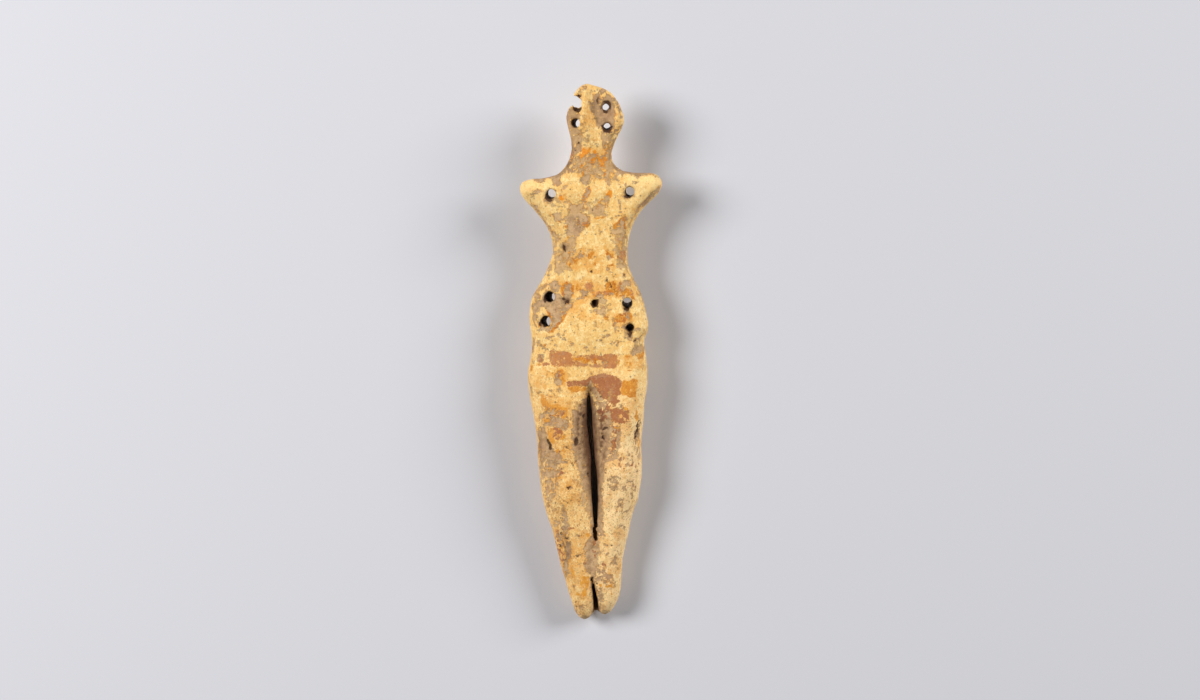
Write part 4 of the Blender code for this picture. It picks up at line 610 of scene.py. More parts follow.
@dataclass(frozen=True)
class Sight:
    """The eye straight above the figurine, and the plane that every reading of the front lies in."""

    x: float = 3.11
    y: float = 1.15
    height: float = 950.0
    plane: float = 11.0
    shift_x: float = 0.08
    shift_y: float = 0.98
    sensor: float = 36.0
    lens: float = 83.7

    def readings(self, points: np.ndarray) -> np.ndarray:
        """Where the eye sees each point, on the plane of the readings.

        Args:
            points: three columns, in millimetres.

        Returns:
            Two columns, in millimetres.
        """
        reach = (self.height - self.plane) / (self.height - points[:, 2])
        return np.column_stack((self.x - self.shift_x + (points[:, 0] - self.x) * reach,
                                self.y - self.shift_y + (points[:, 1] - self.y) * reach))

    def build(self) -> bpy.types.Object:
        """Makes the camera and looks through it."""
        lens = bpy.data.cameras.new("eye")
        lens.sensor_width = self.sensor
        lens.lens = self.lens
        lens.clip_start = 0.01
        eye = bpy.data.objects.new("eye", lens)
        eye.location = (self.x * MM, self.y * MM, self.height * MM)
        bpy.context.scene.collection.objects.link(eye)
        bpy.context.scene.camera = eye
        return eye


@dataclass(frozen=True)
class Grain:
    """Seeded unevenness, sampled at points of the surface."""

    size: float
    seed: int
    octaves: int = 1
    offset: tuple[float, float, float] = (17.3, -5.9, 11.1)

    def at(self, points: np.ndarray) -> np.ndarray:
        """The unevenness at each point.

        Args:
            points: three columns, in millimetres.

        Returns:
            Values around nothing, mostly within one half of it.
        """
        total = np.zeros(len(points))
        for octave in range(self.octaves):
            step = 2.0 ** octave
            offset = np.array(self.offset) * (self.seed + octave)
            rows = (points * (step / self.size) + offset).tolist()
            total += np.array([noise.noise(row) for row in rows]) / step
        return total


def eased(low: float, high: float, values: np.ndarray) -> np.ndarray:
    """A smooth step from nothing at low to one at high."""
    share = np.clip((values - low) / (high - low), 0.0, 1.0)
    return share * share * (3.0 - 2.0 * share)


@dataclass
class Skin:
    """The points of the dressed surface, in millimetres, and what each of them shows."""

    points: np.ndarray
    normals: np.ndarray
    sight: Sight
    layers: dict[Layer, np.ndarray] = field(init=False)
    pits: np.ndarray = field(init=False)
    hollows: np.ndarray = field(init=False)
    front_edge: float = -0.25
    back_edge: float = -0.05
    edge_slope: float = 5.0
    ragged: float = 0.55
    ragged_size: float = 1.7
    crumble_size: float = 1.15
    crumble_slope: float = 2.2
    pit_rim: float = -0.25

    def __post_init__(self) -> None:
        """Sets every layer to nothing drawn, and works out the places that marks are drawn at."""
        count = len(self.points)
        self.layers = {layer: np.full(count, -FARTHEST) for layer in HARD_LAYERS + SOFT_LAYERS}
        self.pits = np.full(count, -FARTHEST)
        self.hollows = np.zeros(count)
        grains = (Grain(self.ragged_size, 3, 3), Grain(self.ragged_size, 8, 3))
        wander = np.column_stack([grain.at(self.points) for grain in grains]) * self.ragged
        plain = self.points[:, :2] - (self.sight.shift_x, self.sight.shift_y)
        self.front = self.sight.readings(self.points) + wander
        self.back = plain + wander
        self.front_limit = (self.normals[:, 2] - self.front_edge) * self.edge_slope
        self.back_limit = (self.back_edge - self.normals[:, 2]) * self.edge_slope
        self.crumble = Grain(self.crumble_size, 21, 2).at(self.points)

    def draw(self, mark: Blot | Field, behind: bool = False) -> None:
        """Draws one mark over what is there.

        Args:
            mark: the mark to draw.
            behind: whether it lies on the back.
        """
        depth = mark.depth(self.back if behind else self.front)
        if mark.cover < 1.0:
            level = np.quantile(self.crumble, 1.0 - mark.cover)
            depth = np.minimum(depth, (self.crumble - level) * self.crumble_slope)
        limit = self.back_limit if behind else self.front_limit
        depth = np.clip(np.minimum(depth, limit), -FARTHEST, FARTHEST)
        if mark.layer in SOFT_LAYERS:
            self.layers[mark.layer] = np.maximum(self.layers[mark.layer], depth)
            return
        for layer in HARD_LAYERS:
            if layer is mark.layer:
                self.layers[layer] = np.maximum(self.layers[layer], depth)
            else:
                self.layers[layer] = np.minimum(self.layers[layer], OVERLAP - depth)

    def press(self, pit: Pit | Crack, behind: bool = False) -> None:
        """Presses one pit into the surface.

        Args:
            pit: the pit to press.
            behind: whether it lies on the back.
        """
        depth = pit.depth(self.back if behind else self.front)
        depth = np.minimum(depth, self.back_limit if behind else self.front_limit)
        self.pits = np.maximum(self.pits, depth)
        self.hollows = np.maximum(self.hollows, pit.deep * eased(self.pit_rim, pit.half, depth))


@dataclass(frozen=True)
class BackWear:
    """The worn places of the back, scattered by chance as thickly as those of the front."""

    seed: int = 41
    reach_x: float = 21.0
    reach_y: float = 88.0
    # Each layer with how many marks it has, and the least and the greatest width of one.
    kinds: tuple[tuple[Layer, int, float, float], ...] = ((RED, 30, 1.5, 7.0), (OCHRE, 42, 0.6, 3.4),
                                                          (BARE, 110, 0.6, 5.2))
    crowding: float = 2.2
    stretch: tuple[float, float] = (0.4, 1.6)
    turn: float = 60.0
    covers: tuple[float, ...] = (1.0, 0.9, 0.6)
    pits: int = 60
    pit_wide: tuple[float, float] = (0.4, 1.1)
    pit_tall: tuple[float, float] = (0.4, 1.4)
    pit_turn: float = 90.0
    pit_deep: tuple[float, float] = (0.12, 0.45)

    def marks(self) -> list[Blot]:
        """The marks of the back, in the order they are drawn."""
        dice = random.Random(self.seed)
        marks = []
        for layer, count, least, most in self.kinds:
            for _ in range(count):
                size = least + (most - least) * dice.random() ** self.crowding
                marks.append(layer(dice.uniform(-self.reach_x, self.reach_x),
                                   dice.uniform(-self.reach_y, self.reach_y),
                                   size, size * dice.uniform(*self.stretch),
                                   dice.uniform(-self.turn, self.turn), dice.choice(self.covers)))
        return marks

    def holes(self) -> list[Pit]:
        """The pits of the back."""
        dice = random.Random(self.seed + 1)
        return [Pit(dice.uniform(-self.reach_x, self.reach_x), dice.uniform(-self.reach_y, self.reach_y),
                    dice.uniform(*self.pit_wide), dice.uniform(*self.pit_tall),
                    dice.uniform(-self.pit_turn, self.pit_turn), dice.uniform(*self.pit_deep))
                for _ in range(self.pits)]


@dataclass(frozen=True)
class Shelter:
    """How far each point is walled in: where dirt stays and cloth never rubs, and where the finish paints
    shade.
    """

    rays: int = 12
    reach: float = 9.0
    lift: float = 0.15

    def at(self, points: np.ndarray, normals: np.ndarray, faces: list[tuple[int, ...]]) -> np.ndarray:
        """The share of short rays that meet the surface again.

        Args:
            points: three columns, in millimetres.
            normals: the direction that each point faces.
            faces: the corners of each face.

        Returns:
            A share for each point.
        """
        tree = BVHTree.FromPolygons(points.tolist(), faces)
        spread = []
        for index in range(self.rays):
            high = math.sqrt((index + 0.5) / self.rays)
            around = index * math.pi * (3.0 - math.sqrt(5.0))
            flat = math.sqrt(1.0 - high * high)
            spread.append(Vector((math.cos(around) * flat, math.sin(around) * flat, high)))
        share = np.zeros(len(points))
        up = Vector((0.0, 0.0, 1.0))
        for index, (place, facing) in enumerate(zip(points.tolist(), normals.tolist())):
            facing = Vector(facing)
            start = Vector(place) + facing * self.lift
            turn = up.rotation_difference(facing)
            met = sum(tree.ray_cast(start, turn @ ray, self.reach)[0] is not None for ray in spread)
            share[index] = met / self.rays
        return share


class Wire:
    """One value of a material, which takes Python's arithmetic as Math nodes."""

    def __init__(self, bench: "Bench", socket: bpy.types.NodeSocket) -> None:
        """Wraps a socket of the bench's material."""
        self.bench = bench
        self.socket = socket

    def math(self, operation: str, *values: Any) -> "Wire":
        """Adds one Math node.

        Args:
            operation: the node's operation.
            values: what its sockets take, links or numbers.

        Returns:
            The node's result.
        """
        return self.bench.node("ShaderNodeMath", {"operation": operation}, dict(enumerate(values)))

    def __add__(self, other: Any) -> "Wire":
        """The sum."""
        return self.math("ADD", self, other)

    def __radd__(self, other: Any) -> "Wire":
        """The sum, from the right."""
        return self.math("ADD", other, self)

    def __sub__(self, other: Any) -> "Wire":
        """The difference."""
        return self.math("SUBTRACT", self, other)

    def __rsub__(self, other: Any) -> "Wire":
        """The difference, from the right."""
        return self.math("SUBTRACT", other, self)

    def __mul__(self, other: Any) -> "Wire":
        """The product."""
        return self.math("MULTIPLY", self, other)

    def __or__(self, other: Any) -> "Wire":
        """The greater of two values."""
        return self.math("MAXIMUM", self, other)

    def step(self, low: float, high: float) -> "Wire":
        """A smooth step from nothing at low to one at high."""
        return self.bench.node("ShaderNodeMapRange", {"interpolation_type": "SMOOTHSTEP"},
                               {"Value": self, "From Min": low, "From Max": high})


@dataclass(frozen=True)
class Tone:
    """A colour in the eye's own numbers, from 0 to 255."""

    red: int
    green: int
    blue: int

    def linear(self) -> tuple[float, float, float, float]:
        """The colour as light."""
        light = []
        for part in (self.red / 255, self.green / 255, self.blue / 255):
            light.append(part / 12.92 if part <= 0.04045 else ((part + 0.055) / 1.055) ** 2.4)
        return (*light, 1.0)


@dataclass(frozen=True)
class Cloud:
    """Cloudy noise of a material: its size in millimetres, which one it is, and its finer noise."""

    size: float
    seed: float
    detail: float = 2.0
    rough: float = 0.5


class Bench:
    """A material under the maker's hands."""

    def __init__(self, name: str) -> None:
        """Starts an empty material with its shader and its output."""
        self.material = bpy.data.materials.new(name)
        self.material.use_nodes = True
        self.tree = self.material.node_tree
        self.tree.nodes.clear()
        self.shader = self.tree.nodes.new("ShaderNodeBsdfPrincipled")
        output = self.tree.nodes.new("ShaderNodeOutputMaterial")
        self.tree.links.new(self.shader.outputs["BSDF"], output.inputs["Surface"])

    def fill(self, node: bpy.types.Node, inputs: dict[Any, Any]) -> None:
        """Sets or links a node's inputs.

        Args:
            node: the node to fill.
            inputs: what each socket takes, by name or place.
        """
        for key, value in inputs.items():
            socket = node.inputs[key]
            if isinstance(value, Wire):
                self.tree.links.new(value.socket, socket)
            elif isinstance(value, Tone):
                socket.default_value = value.linear()
            else:
                socket.default_value = value

    def node(self, kind: str, settings: dict[str, Any], inputs: dict[Any, Any], output: Any = 0) -> Wire:
        """Adds one node.

        Args:
            kind: the node's type.
            settings: its own settings, set first.
            inputs: what each socket takes, by name or place.
            output: which of its outputs is wanted.

        Returns:
            That output.
        """
        node = self.tree.nodes.new(kind)
        for key, value in settings.items():
            setattr(node, key, value)
        self.fill(node, inputs)
        return Wire(self, node.outputs[output])

    def place(self, scale: float = 1.0 / MM) -> Wire:
        """Object coordinates in millimetres."""
        spot = self.node("ShaderNodeTexCoord", {}, {}, "Object")
        return self.node("ShaderNodeVectorMath", {"operation": "SCALE"}, {0: spot, "Scale": scale})

    def grain(self, spot: Wire, cloud: Cloud) -> Wire:
        """Cloudy noise around one half.

        Args:
            spot: where it is read, in millimetres.
            cloud: which noise it is.

        Returns:
            The noise.
        """
        return self.node("ShaderNodeTexNoise", {"noise_dimensions": "4D"},
                         {"Vector": spot, "W": cloud.seed, "Scale": 1.0 / cloud.size, "Detail": cloud.detail,
                          "Roughness": cloud.rough})

    def mixed(self, share: Any, under: Any, over: Any, blend: str = "MIX") -> Wire:
        """One colour over another.

        Args:
            share: how much of the upper one shows.
            under: the lower colour.
            over: the upper colour.
            blend: how they meet.

        Returns:
            The mixed colour.
        """
        settings = {"data_type": "RGBA", "blend_type": blend, "clamp_factor": True}
        return self.node("ShaderNodeMix", settings, {0: share, 6: under, 7: over}, 2)

    def layer(self, name: str) -> Wire:
        """A value that the mesh holds at each point."""
        settings = {"attribute_type": "GEOMETRY", "attribute_name": name}
        return self.node("ShaderNodeAttribute", settings, {}, "Fac")

    def vector(self, operation: str, spot: Wire, other: tuple[float, float, float]) -> Wire:
        """A place worked on with another vector."""
        return self.node("ShaderNodeVectorMath", {"operation": operation}, {0: spot, 1: other})


class Ground:
    """What the finish can tell of each place: its grain, where it lies, and what the mesh holds there."""

    def __init__(self, bench: Bench, finish: "WornSlip") -> None:
        """Reads each value once.

        Args:
            bench: the material that they are read in.
            finish: the finish, for the heights where it changes.
        """
        self.spot = bench.place()
        brushed = bench.vector("MULTIPLY", self.spot, finish.brushing)
        self.broad = bench.grain(self.spot, finish.broad)
        self.cloud = bench.grain(self.spot, finish.cloudy)
        self.fine = bench.grain(self.spot, finish.fine)
        self.grit = bench.grain(self.spot, finish.grit)
        self.streak = bench.grain(brushed, finish.streaks)
        self.blotch = bench.grain(self.spot, finish.blotches)
        self.mottle = self.cloud * 0.5 + self.fine * 0.5
        self.ragged = (self.cloud - 0.5) * 2.0 + (self.fine - 0.5) * 2.6 + (self.grit - 0.5) * 0.7

        self.masks = {layer: (bench.layer(layer.value) + self.ragged * torn).step(-finish.edge, finish.edge)
                      for layer, torn in finish.torn}
        self.bare = bench.layer(BARE.value) + self.ragged
        self.thin = bench.layer(THIN.value).step(-finish.soft_edge, finish.soft_edge)
        self.stain = bench.layer(STAIN.value).step(-finish.soft_edge, finish.soft_edge)
        self.soil_and_shade = (bench.layer(SOIL_AND_SHADE.value) + (self.cloud - 0.5) * 1.2).step(*finish.soil_and_shade_edge)
        self.pit = (bench.layer("pit") + self.ragged * 0.3).step(*finish.pit_edge)
        # Walled-in places, painted darker by how enclosed they are: dirt, and painted shade.
        self.grime_and_shade = (bench.layer("shelter") + (self.cloud - 0.5) * 0.3).step(*finish.grime_and_shade_edge)

        self.along = bench.node("ShaderNodeSeparateXYZ", {}, {0: self.spot}, 1)
        across = bench.node("ShaderNodeSeparateXYZ", {}, {0: self.spot}, 0)
        self.legs = (self.along + (self.broad - 0.5) * finish.leg_wander).step(finish.waist_y, finish.leg_y)
        # The shoulder tips, where the slip is painted paler and cleaner: a painted highlight.
        self.shoulder_highlight = self.along.step(*finish.shoulder_y) * (across * across).step(*finish.shoulder_square)
        # The right side of the legs, where the slip is painted paler and less rubbed: a painted highlight.
        wandering = across + (self.broad - 0.5) * finish.calf_wander
        self.right_side_highlight = wandering.step(finish.calf_left_x, finish.calf_right_x)
        wear = bench.grain(self.spot, finish.rubbing) + self.thin * 0.1 - self.shoulder_highlight * 0.03
        self.wear = wear + (self.broad - 0.5) * 0.2
        self.rubbed = self.wear.step(0.6, 0.64)
        speckle = bench.grain(self.spot, finish.speckles)
        self.speckle = speckle + self.legs * 0.05 - self.shoulder_highlight * 0.01


@dataclass(frozen=True)
class WornSlip:
    """The figurine's finish: cream slip, worn through to the clay, with traces of ochre and red paint."""

    name: str = "worn_slip"
    cream: Tone = Tone(244, 198, 118)
    # Pale cream of the mottling, also the painted highlight on the shoulder tips.
    cream_pale_and_highlight: Tone = Tone(255, 219, 150)
    cream_deep: Tone = Tone(229, 176, 94)
    leg: Tone = Tone(240, 190, 116)
    # Painted highlight on the right side of the legs.
    leg_highlight: Tone = Tone(255, 216, 156)
    leg_deep: Tone = Tone(210, 148, 76)
    flush: Tone = Tone(232, 160, 60)
    clay: Tone = Tone(176, 141, 101)
    clay_light: Tone = Tone(201, 163, 119)
    clay_dark: Tone = Tone(132, 98, 66)
    clay_rosy: Tone = Tone(188, 145, 104)
    film: Tone = Tone(214, 172, 116)
    ochre: Tone = Tone(214, 134, 30)
    ochre_light: Tone = Tone(240, 174, 68)
    ochre_deep: Tone = Tone(192, 106, 24)
    ochre_bright: Tone = Tone(236, 144, 26)
    red: Tone = Tone(200, 130, 70)
    red_low: Tone = Tone(176, 108, 60)
    red_deep: Tone = Tone(162, 98, 58)
    # The multiply colour of the soil marks: earth, and painted shade at the holes, the neck sides and the leg
    # gap.
    earth_and_shade: Tone = Tone(142, 122, 108)
    # Dark brown of dirt with shade painted in, used for the pits and the walled-in places.
    dirt_in_shade: Tone = Tone(66, 38, 18)
    broad: Cloud = Cloud(6.5, 1.0)
    cloudy: Cloud = Cloud(1.9, 2.0, 3.0, 0.6)
    fine: Cloud = Cloud(0.6, 3.0, 3.0, 0.65)
    grit: Cloud = Cloud(0.26, 4.0, 1.0)
    streaks: Cloud = Cloud(0.75, 9.0, 3.0, 0.6)
    blotches: Cloud = Cloud(2.4, 13.0, 5.0, 0.66)
    rubbing: Cloud = Cloud(1.2, 5.0, 5.0, 0.7)
    speckles: Cloud = Cloud(0.5, 14.0, 2.0, 0.6)
    warmth: Cloud = Cloud(1.7, 11.0, 5.0, 0.7)
    rosy: Cloud = Cloud(3.4, 6.0)
    lips: Cloud = Cloud(2.2, 8.0)
    flecks: Cloud = Cloud(0.9, 12.0, 4.0, 0.7)
    torn: tuple[tuple[Layer, float], ...] = ((BARE, 1.0), (OCHRE, 0.5), (RED, 0.7))
    specks: tuple[tuple[float, float, float, float], ...] = ((0.6, 0.09, 0.2, 0.0), (1.25, 0.14, 0.1, 7.0))
    brushing: tuple[float, float, float] = (1.0, 0.2, 0.5)
    edge: float = 0.08
    soft_edge: float = 0.9
    soil_and_shade_edge: tuple[float, float] = (-0.5, 2.1)
    pit_edge: tuple[float, float] = (-0.12, 0.14)
    grime_and_shade_edge: tuple[float, float] = (0.32, 0.85)
    relief: float = 0.2
    relief_depth: float = 1.4
    relief_strength: float = 0.85
    matt: float = 0.62
    bend: float = 1.45
    waist_y: float = 4.0
    leg_y: float = -34.0
    upper_band_y: float = -5.0
    lower_band_y: float = -8.0
    drip_y: float = 42.0
    neck_y: float = 52.0
    chin_y: float = 72.0
    calf_left_x: float = -8.0
    calf_right_x: float = 11.0
    shoulder_y: tuple[float, float] = (40.0, 50.0)
    shoulder_square: tuple[float, float] = (90.0, 260.0)
    leg_wander: float = 16.0
    calf_wander: float = 12.0
    band_wander: float = 3.0

    def clay_tone(self, bench: Bench, ground: Ground) -> Wire:
        """The bare clay, darker at the head."""
        clay = bench.mixed(ground.cloud.step(0.44, 0.56), self.clay, self.clay_light)
        rosy = bench.grain(ground.spot, self.rosy).step(0.5, 0.62)
        clay = bench.mixed(rosy * 0.6, clay, self.clay_rosy)
        clay = bench.mixed(ground.fine.step(0.54, 0.66) * 0.5, clay, self.clay_dark)
        return bench.mixed(ground.along.step(self.neck_y, self.chin_y) * 0.3, clay, self.clay_dark)

    def slip_tone(self, bench: Bench, ground: Ground, clay: Wire) -> Wire:
        """The cream slip of the torso and the warmer slip of the legs, both rubbed and speckled, with painted
        highlights on the shoulder tips and on the right side of the legs.

        Args:
            bench: the material.
            ground: what is known of each place.
            clay: the clay that shows where the slip is rubbed.

        Returns:
            The slip's colour.
        """
        legs, shoulder_highlight, right_side_highlight = ground.legs, ground.shoulder_highlight, ground.right_side_highlight
        pale = (ground.cloud * 0.3 + ground.fine * 0.35 + ground.streak * 0.35).step(0.48, 0.55)
        deep = (ground.blotch * 0.6 + ground.streak * 0.4).step(0.51, 0.56)
        # Pale cream mottling, and the shoulder tips painted paler: a painted highlight.
        torso = bench.mixed(pale | shoulder_highlight * 0.55, self.cream, self.cream_pale_and_highlight)
        torso = bench.mixed(deep * (0.7 - shoulder_highlight * 0.2), torso, self.cream_deep)
        # The right side of the legs painted paler: a painted highlight.
        leg = bench.mixed(right_side_highlight, self.leg, self.leg_highlight)
        leg = bench.mixed(pale * 0.7, leg, self.cream_pale_and_highlight)
        leg = bench.mixed(deep * (0.7 - right_side_highlight * 0.4), leg, self.leg_deep)
        slip = bench.mixed(legs, torso, leg)
        warm = bench.grain(ground.spot, self.warmth) + ground.stain * 0.16
        warm = warm + (ground.broad - 0.5) * 0.3
        slip = bench.mixed(warm.step(0.57, 0.7) * (0.62 - legs * 0.16), slip, self.flush)
        rubbed_tone = bench.mixed(legs * 0.5, clay, self.leg_deep)
        slip = bench.mixed(ground.rubbed * (0.66 - right_side_highlight * legs * 0.3), slip, rubbed_tone)
        return bench.mixed(ground.speckle.step(0.62, 0.67) * 0.55, slip, self.clay_dark)

    def ochre_tone(self, bench: Bench, ground: Ground) -> Wire:
        """The ochre paint, brighter in the drips of the neck and paler on the legs."""
        ochre = bench.mixed(ground.mottle.step(0.46, 0.56), self.ochre, self.ochre_deep)
        ochre = bench.mixed(ground.fine.step(0.51, 0.58) * 0.7, ochre, self.ochre_light)
        ochre = bench.mixed(ground.along.step(self.drip_y, self.neck_y) * 0.8, ochre, self.ochre_bright)
        return bench.mixed(ground.legs * 0.7, ochre, self.flush)

    def red_tone(self, bench: Bench, ground: Ground) -> Wire:
        """The red paint, deeper below the upper band, and worn thin in spots."""
        lower = ground.along + (ground.cloud - 0.5) * self.band_wander
        red = bench.mixed(lower.step(self.upper_band_y, self.lower_band_y), self.red, self.red_low)
        red = bench.mixed(ground.mottle.step(0.48, 0.56) * 0.7, red, self.red_deep)
        red = bench.mixed(ground.blotch.step(0.5, 0.6) * 0.45, red, self.clay_rosy)
        red = bench.mixed(ground.wear.step(0.55, 0.59) * 0.6, red, self.cream_deep)
        return bench.mixed(ground.speckle.step(0.58, 0.66) * 0.4, red, self.clay_dark)

    def specked(self, bench: Bench, ground: Ground, colour: Wire) -> Wire:
        """Scatters dark specks, each kind with its spacing, share, reach and pattern."""
        for scale, chosen, reach, seed in self.specks:
            cells = {"Vector": bench.vector("ADD", ground.spot, (seed, 0.0, 0.0)), "Scale": scale}
            chance = bench.node("ShaderNodeTexVoronoi", {"feature": "F1"}, cells, "Color")
            dice = bench.node("ShaderNodeSeparateColor", {}, {0: chance}, 0)
            middle = bench.node("ShaderNodeTexVoronoi", {"feature": "F1"}, cells)
            speck = (reach - middle + (ground.fine - 0.5) * 0.3).step(-0.04, 0.04)
            speck = speck * dice.step(1.0 - chosen, 1.001 - chosen)
            colour = bench.mixed(speck * 0.7, colour, self.clay_dark)
        return colour

    def build(self) -> bpy.types.Material:
        """Makes the material.

        Returns:
            The finished material.
        """
        bench = Bench(self.name)
        ground = Ground(bench, self)
        clay = self.clay_tone(bench, ground)
        ochre = self.ochre_tone(bench, ground)
        lip = ground.bare.step(-0.5, -0.1) * bench.grain(ground.spot, self.lips).step(0.5, 0.58)
        colour = bench.mixed(lip * 0.6, self.slip_tone(bench, ground, clay), ochre)
        colour = bench.mixed(ground.masks[OCHRE], colour, ochre)
        colour = bench.mixed(ground.masks[RED], colour, self.red_tone(bench, ground))
        # A thin darker line just outside each bare patch: dirt at the slip's broken edge, and the painted
        # shadow of that raised edge.
        colour = bench.mixed(ground.bare.step(-0.2, -0.08) * 0.22, colour, self.clay_dark)
        flecks = bench.grain(ground.spot, self.flecks).step(0.6, 0.64)
        flecked = bench.mixed(flecks * 0.7, clay, self.cream_deep)
        colour = bench.mixed(ground.masks[BARE], colour, bench.mixed(ground.thin * 0.55, flecked, self.film))
        colour = self.specked(bench, ground, colour)
        contrast = (ground.fine * 0.5 + ground.grit * 0.3 + ground.cloud * 0.2 - 0.5) * 2.6 + 0.53
        colour = bench.mixed(0.5, colour, contrast, "SOFT_LIGHT")
        # Soil marks multiply the colour darker: earth, and painted shade around the holes, at the neck sides
        # and along the leg gap.
        colour = bench.mixed(ground.soil_and_shade, colour, self.earth_and_shade, "MULTIPLY")
        # Pits painted dark: dirt in the pores, and painted shade on the walls of the holes and in the leg
        # gap.
        colour = bench.mixed(ground.pit * 0.9, colour, self.dirt_in_shade)
        # Walled-in places darkened towards dark brown: dirt, and painted shade in the hollows, holes and
        # gaps.
        colour = bench.mixed(ground.grime_and_shade * 0.92, colour, self.dirt_in_shade)

        worn = ground.masks[BARE] | ground.pit
        height = (1.0 - (worn | ground.rubbed * 0.5)) * self.relief - ground.pit * 0.2
        height = height + ground.cloud * 0.07 + ground.fine * 0.12 + ground.grit * 0.04
        height = height + ground.streak * 0.06 - ground.masks[RED] * 0.02
        bump = bench.node("ShaderNodeBump", {}, {"Height": height, "Distance": self.relief_depth * MM,
                                                 "Strength": self.relief_strength}, "Normal")
        rough = self.matt + worn * 0.2 + ground.cloud * 0.1
        bench.fill(bench.shader, {"Base Color": colour, "Roughness": rough, "Normal": bump, "IOR": self.bend})
        return bench.material


@dataclass(frozen=True)
class DressedFigurine:
    """The fired clay body, pierced and broken as it was found, under its worn slip."""

    sight: Sight
    finish: WornSlip
    name: str = "slipped_figurine"
    node: str = "figurine"
    grid: float = 0.456
    smoothing: int = 2
    smoothing_share: float = 0.5
    merge: float = 0.001
    slip_step: float = 0.1
    flake_edge: tuple[float, float] = (-0.1, 0.25)
    walled: tuple[float, float] = (0.4, 0.9)
    walled_calm: float = 0.7
    dirt_walled: tuple[float, float] = (0.35, 0.6)
    floor_skin: float = 0.06
    floor_fade: float = 0.48
    swells: tuple[tuple[Grain, float], ...] = ((Grain(11.0, 1), 0.26), (Grain(4.6, 2), 0.14),
                                               (Grain(1.6, 4), 0.07), (Grain(0.8, 5), 0.025))

    def skin_mesh(self) -> bpy.types.Mesh:
        """Copies the model's solid and covers it with small even faces.

        Returns:
            The new mesh.
        """
        source = bmesh.new()
        source.from_mesh(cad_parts[self.node].data)
        bmesh.ops.remove_doubles(source, verts=source.verts, dist=self.merge * MM)
        draft = bpy.data.meshes.new("draft")
        source.to_mesh(draft)
        source.free()
        holder = bpy.data.objects.new("draft", draft)
        bpy.context.scene.collection.objects.link(holder)
        cover = holder.modifiers.new("cover", "REMESH")
        cover.mode = "VOXEL"
        cover.voxel_size = self.grid * MM
        graph = bpy.context.evaluated_depsgraph_get()
        mesh = bpy.data.meshes.new_from_object(holder.evaluated_get(graph))
        bpy.data.objects.remove(holder)
        bpy.data.meshes.remove(draft)
        fairing = bmesh.new()
        fairing.from_mesh(mesh)
        for _ in range(self.smoothing):
            bmesh.ops.smooth_vert(fairing, verts=fairing.verts, factor=self.smoothing_share,
                                  use_axis_x=True, use_axis_y=True, use_axis_z=True)
        fairing.to_mesh(mesh)
        fairing.free()
        mesh.name = self.name
        return mesh

    def build(self) -> bpy.types.Object:
        """Makes the piece, wears it, and dresses it.

        Returns:
            The finished piece.
        """
        mesh = self.skin_mesh()
        count = len(mesh.vertices)
        points = np.empty(count * 3)
        mesh.vertices.foreach_get("co", points)
        points = points.reshape(-1, 3) / MM
        normals = np.empty(count * 3)
        mesh.vertex_normals.foreach_get("vector", normals)
        normals = normals.reshape(-1, 3)
        skin = Skin(points, normals, self.sight)
        back = BackWear()
        for mark in back.marks():
            skin.draw(mark, True)
        for mark in FRONT_MARKS:
            skin.draw(mark)
        for pit in back.holes():
            skin.press(pit, True)
        for pit in FRONT_PITS:
            skin.press(pit)
        faces = [tuple(face.vertices) for face in mesh.polygons]
        shelter = Shelter().at(points, normals, faces)

        rise = sum(grain.at(points) * height for grain, height in self.swells)
        rise = rise - self.slip_step * eased(*self.flake_edge, skin.layers[BARE]) - skin.hollows
        rise = rise * (1.0 - self.walled_calm * eased(*self.walled, shelter))
        for dirt_in_shade in GATHERED_DIRT:
            filled = dirt_in_shade.deep * eased(0.0, dirt_in_shade.half, dirt_in_shade.depth(skin.front))
            rise = rise + filled * eased(*self.dirt_walled, shelter)
        rise = rise * eased(0.0, self.floor_fade, points[:, 2])
        moved = points + normals * rise[:, None]
        moved[:, 2] = np.where(points[:, 2] < self.floor_skin, points[:, 2], np.maximum(moved[:, 2], 0.0))
        mesh.vertices.foreach_set("co", (moved * MM).ravel())
        values = {layer.value: skin.layers[layer] for layer in HARD_LAYERS + SOFT_LAYERS}
        for name, held in {**values, "pit": skin.pits, "shelter": shelter}.items():
            mesh.attributes.new(name, "FLOAT", "POINT").data.foreach_set("value", held.astype(np.float32))
        mesh.shade_smooth()
        mesh.materials.clear()
        mesh.materials.append(self.finish.build())
        mesh.update()
        piece = bpy.data.objects.new(self.name, mesh)
        bpy.context.scene.collection.objects.link(piece)
        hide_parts(self.node)
        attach(piece, "root")
        LOG.info("%s: %d points, %d faces", self.name, count, len(faces))
        return piece


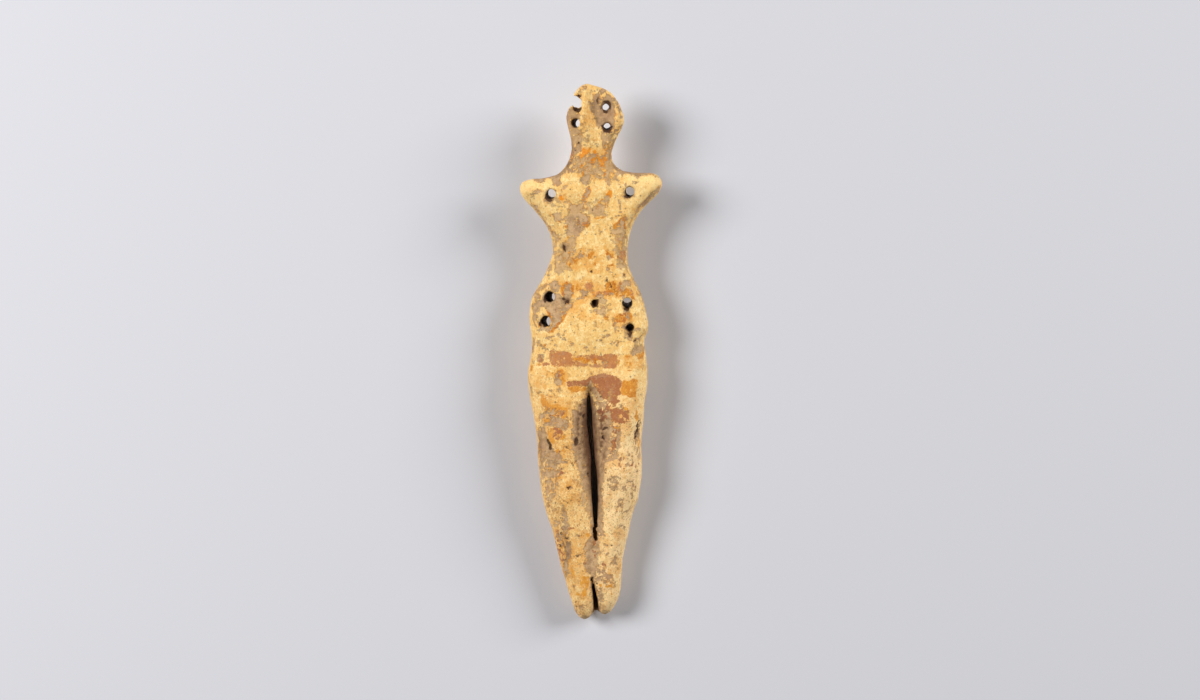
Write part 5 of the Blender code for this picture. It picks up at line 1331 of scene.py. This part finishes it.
@dataclass(frozen=True)
class PaleFloor:
    """The plain pale floor under the figurine."""

    reach: float = 12.0
    roughness: float = 0.9
    tone: Tone = Tone(208, 208, 213)

    def build(self) -> bpy.types.Object:
        """Makes the floor and marks it as stage."""
        mesh = bpy.data.meshes.new("pale_floor")
        sheet = bmesh.new()
        bmesh.ops.create_grid(sheet, x_segments=2, y_segments=2, size=self.reach)
        sheet.to_mesh(mesh)
        sheet.free()
        bench = Bench("pale_floor")
        bench.fill(bench.shader, {"Base Color": self.tone, "Roughness": self.roughness})
        mesh.materials.append(bench.material)
        floor = bpy.data.objects.new("pale_floor", mesh)
        bpy.context.scene.collection.objects.link(floor)
        floor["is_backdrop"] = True
        return floor


@dataclass(frozen=True)
class SoftLamp:
    """A large soft lamp that looks at the figurine."""

    name: str
    place: tuple[float, float, float]
    size: float
    power: float

    def build(self) -> bpy.types.Object:
        """Hangs the lamp and turns it to the figurine."""
        light = bpy.data.lights.new(self.name, "AREA")
        light.shape = "DISK"
        light.size = self.size
        light.energy = self.power
        lamp = bpy.data.objects.new(self.name, light)
        where = Vector(self.place)
        turn = (-where).to_track_quat("-Z", "Y").to_matrix().to_4x4()
        lamp.matrix_world = Matrix.Translation(where) @ turn
        lamp.visible_camera = False
        bpy.context.scene.collection.objects.link(lamp)
        return lamp


@dataclass(frozen=True)
class Studio:
    """The floor, the lamps and the pale air around them."""

    floor: PaleFloor = PaleFloor()
    lamps: tuple[SoftLamp, ...] = (SoftLamp("left_lamp", (-1.03, 0.3, 0.96), 0.68, 20.2),
                                   SoftLamp("right_lamp", (1.41, 0.64, 0.92), 0.95, 26.8))
    air: Tone = Tone(56, 56, 58)

    def build(self) -> None:
        """Makes the stage and lights it."""
        self.floor.build()
        for lamp in self.lamps:
            lamp.build()
            LOG.info("%s hung", lamp.name)
        world = bpy.data.worlds.new("pale_air")
        world.use_nodes = True
        world.node_tree.nodes["Background"].inputs["Color"].default_value = self.air.linear()
        bpy.context.scene.world = world
        bpy.context.scene.view_settings.view_transform = "Standard"


def main() -> None:
    """Builds the figurine, the studio and the camera, and works out how large the piece came out."""
    logging.basicConfig(level=logging.INFO, format="%(name)s: %(message)s")
    sight = Sight()
    piece = DressedFigurine(sight, WornSlip()).build()
    LOG.info("%s dressed", piece.name)
    Studio().build()
    LOG.info("%s in place", sight.build().name)
    sizes = {"cad": CAD_BOX, "visual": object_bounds()}
    {name: [[float(part) for part in corner] for corner in box] for name, box in sizes.items()}


if __name__ == "__main__":
    main()
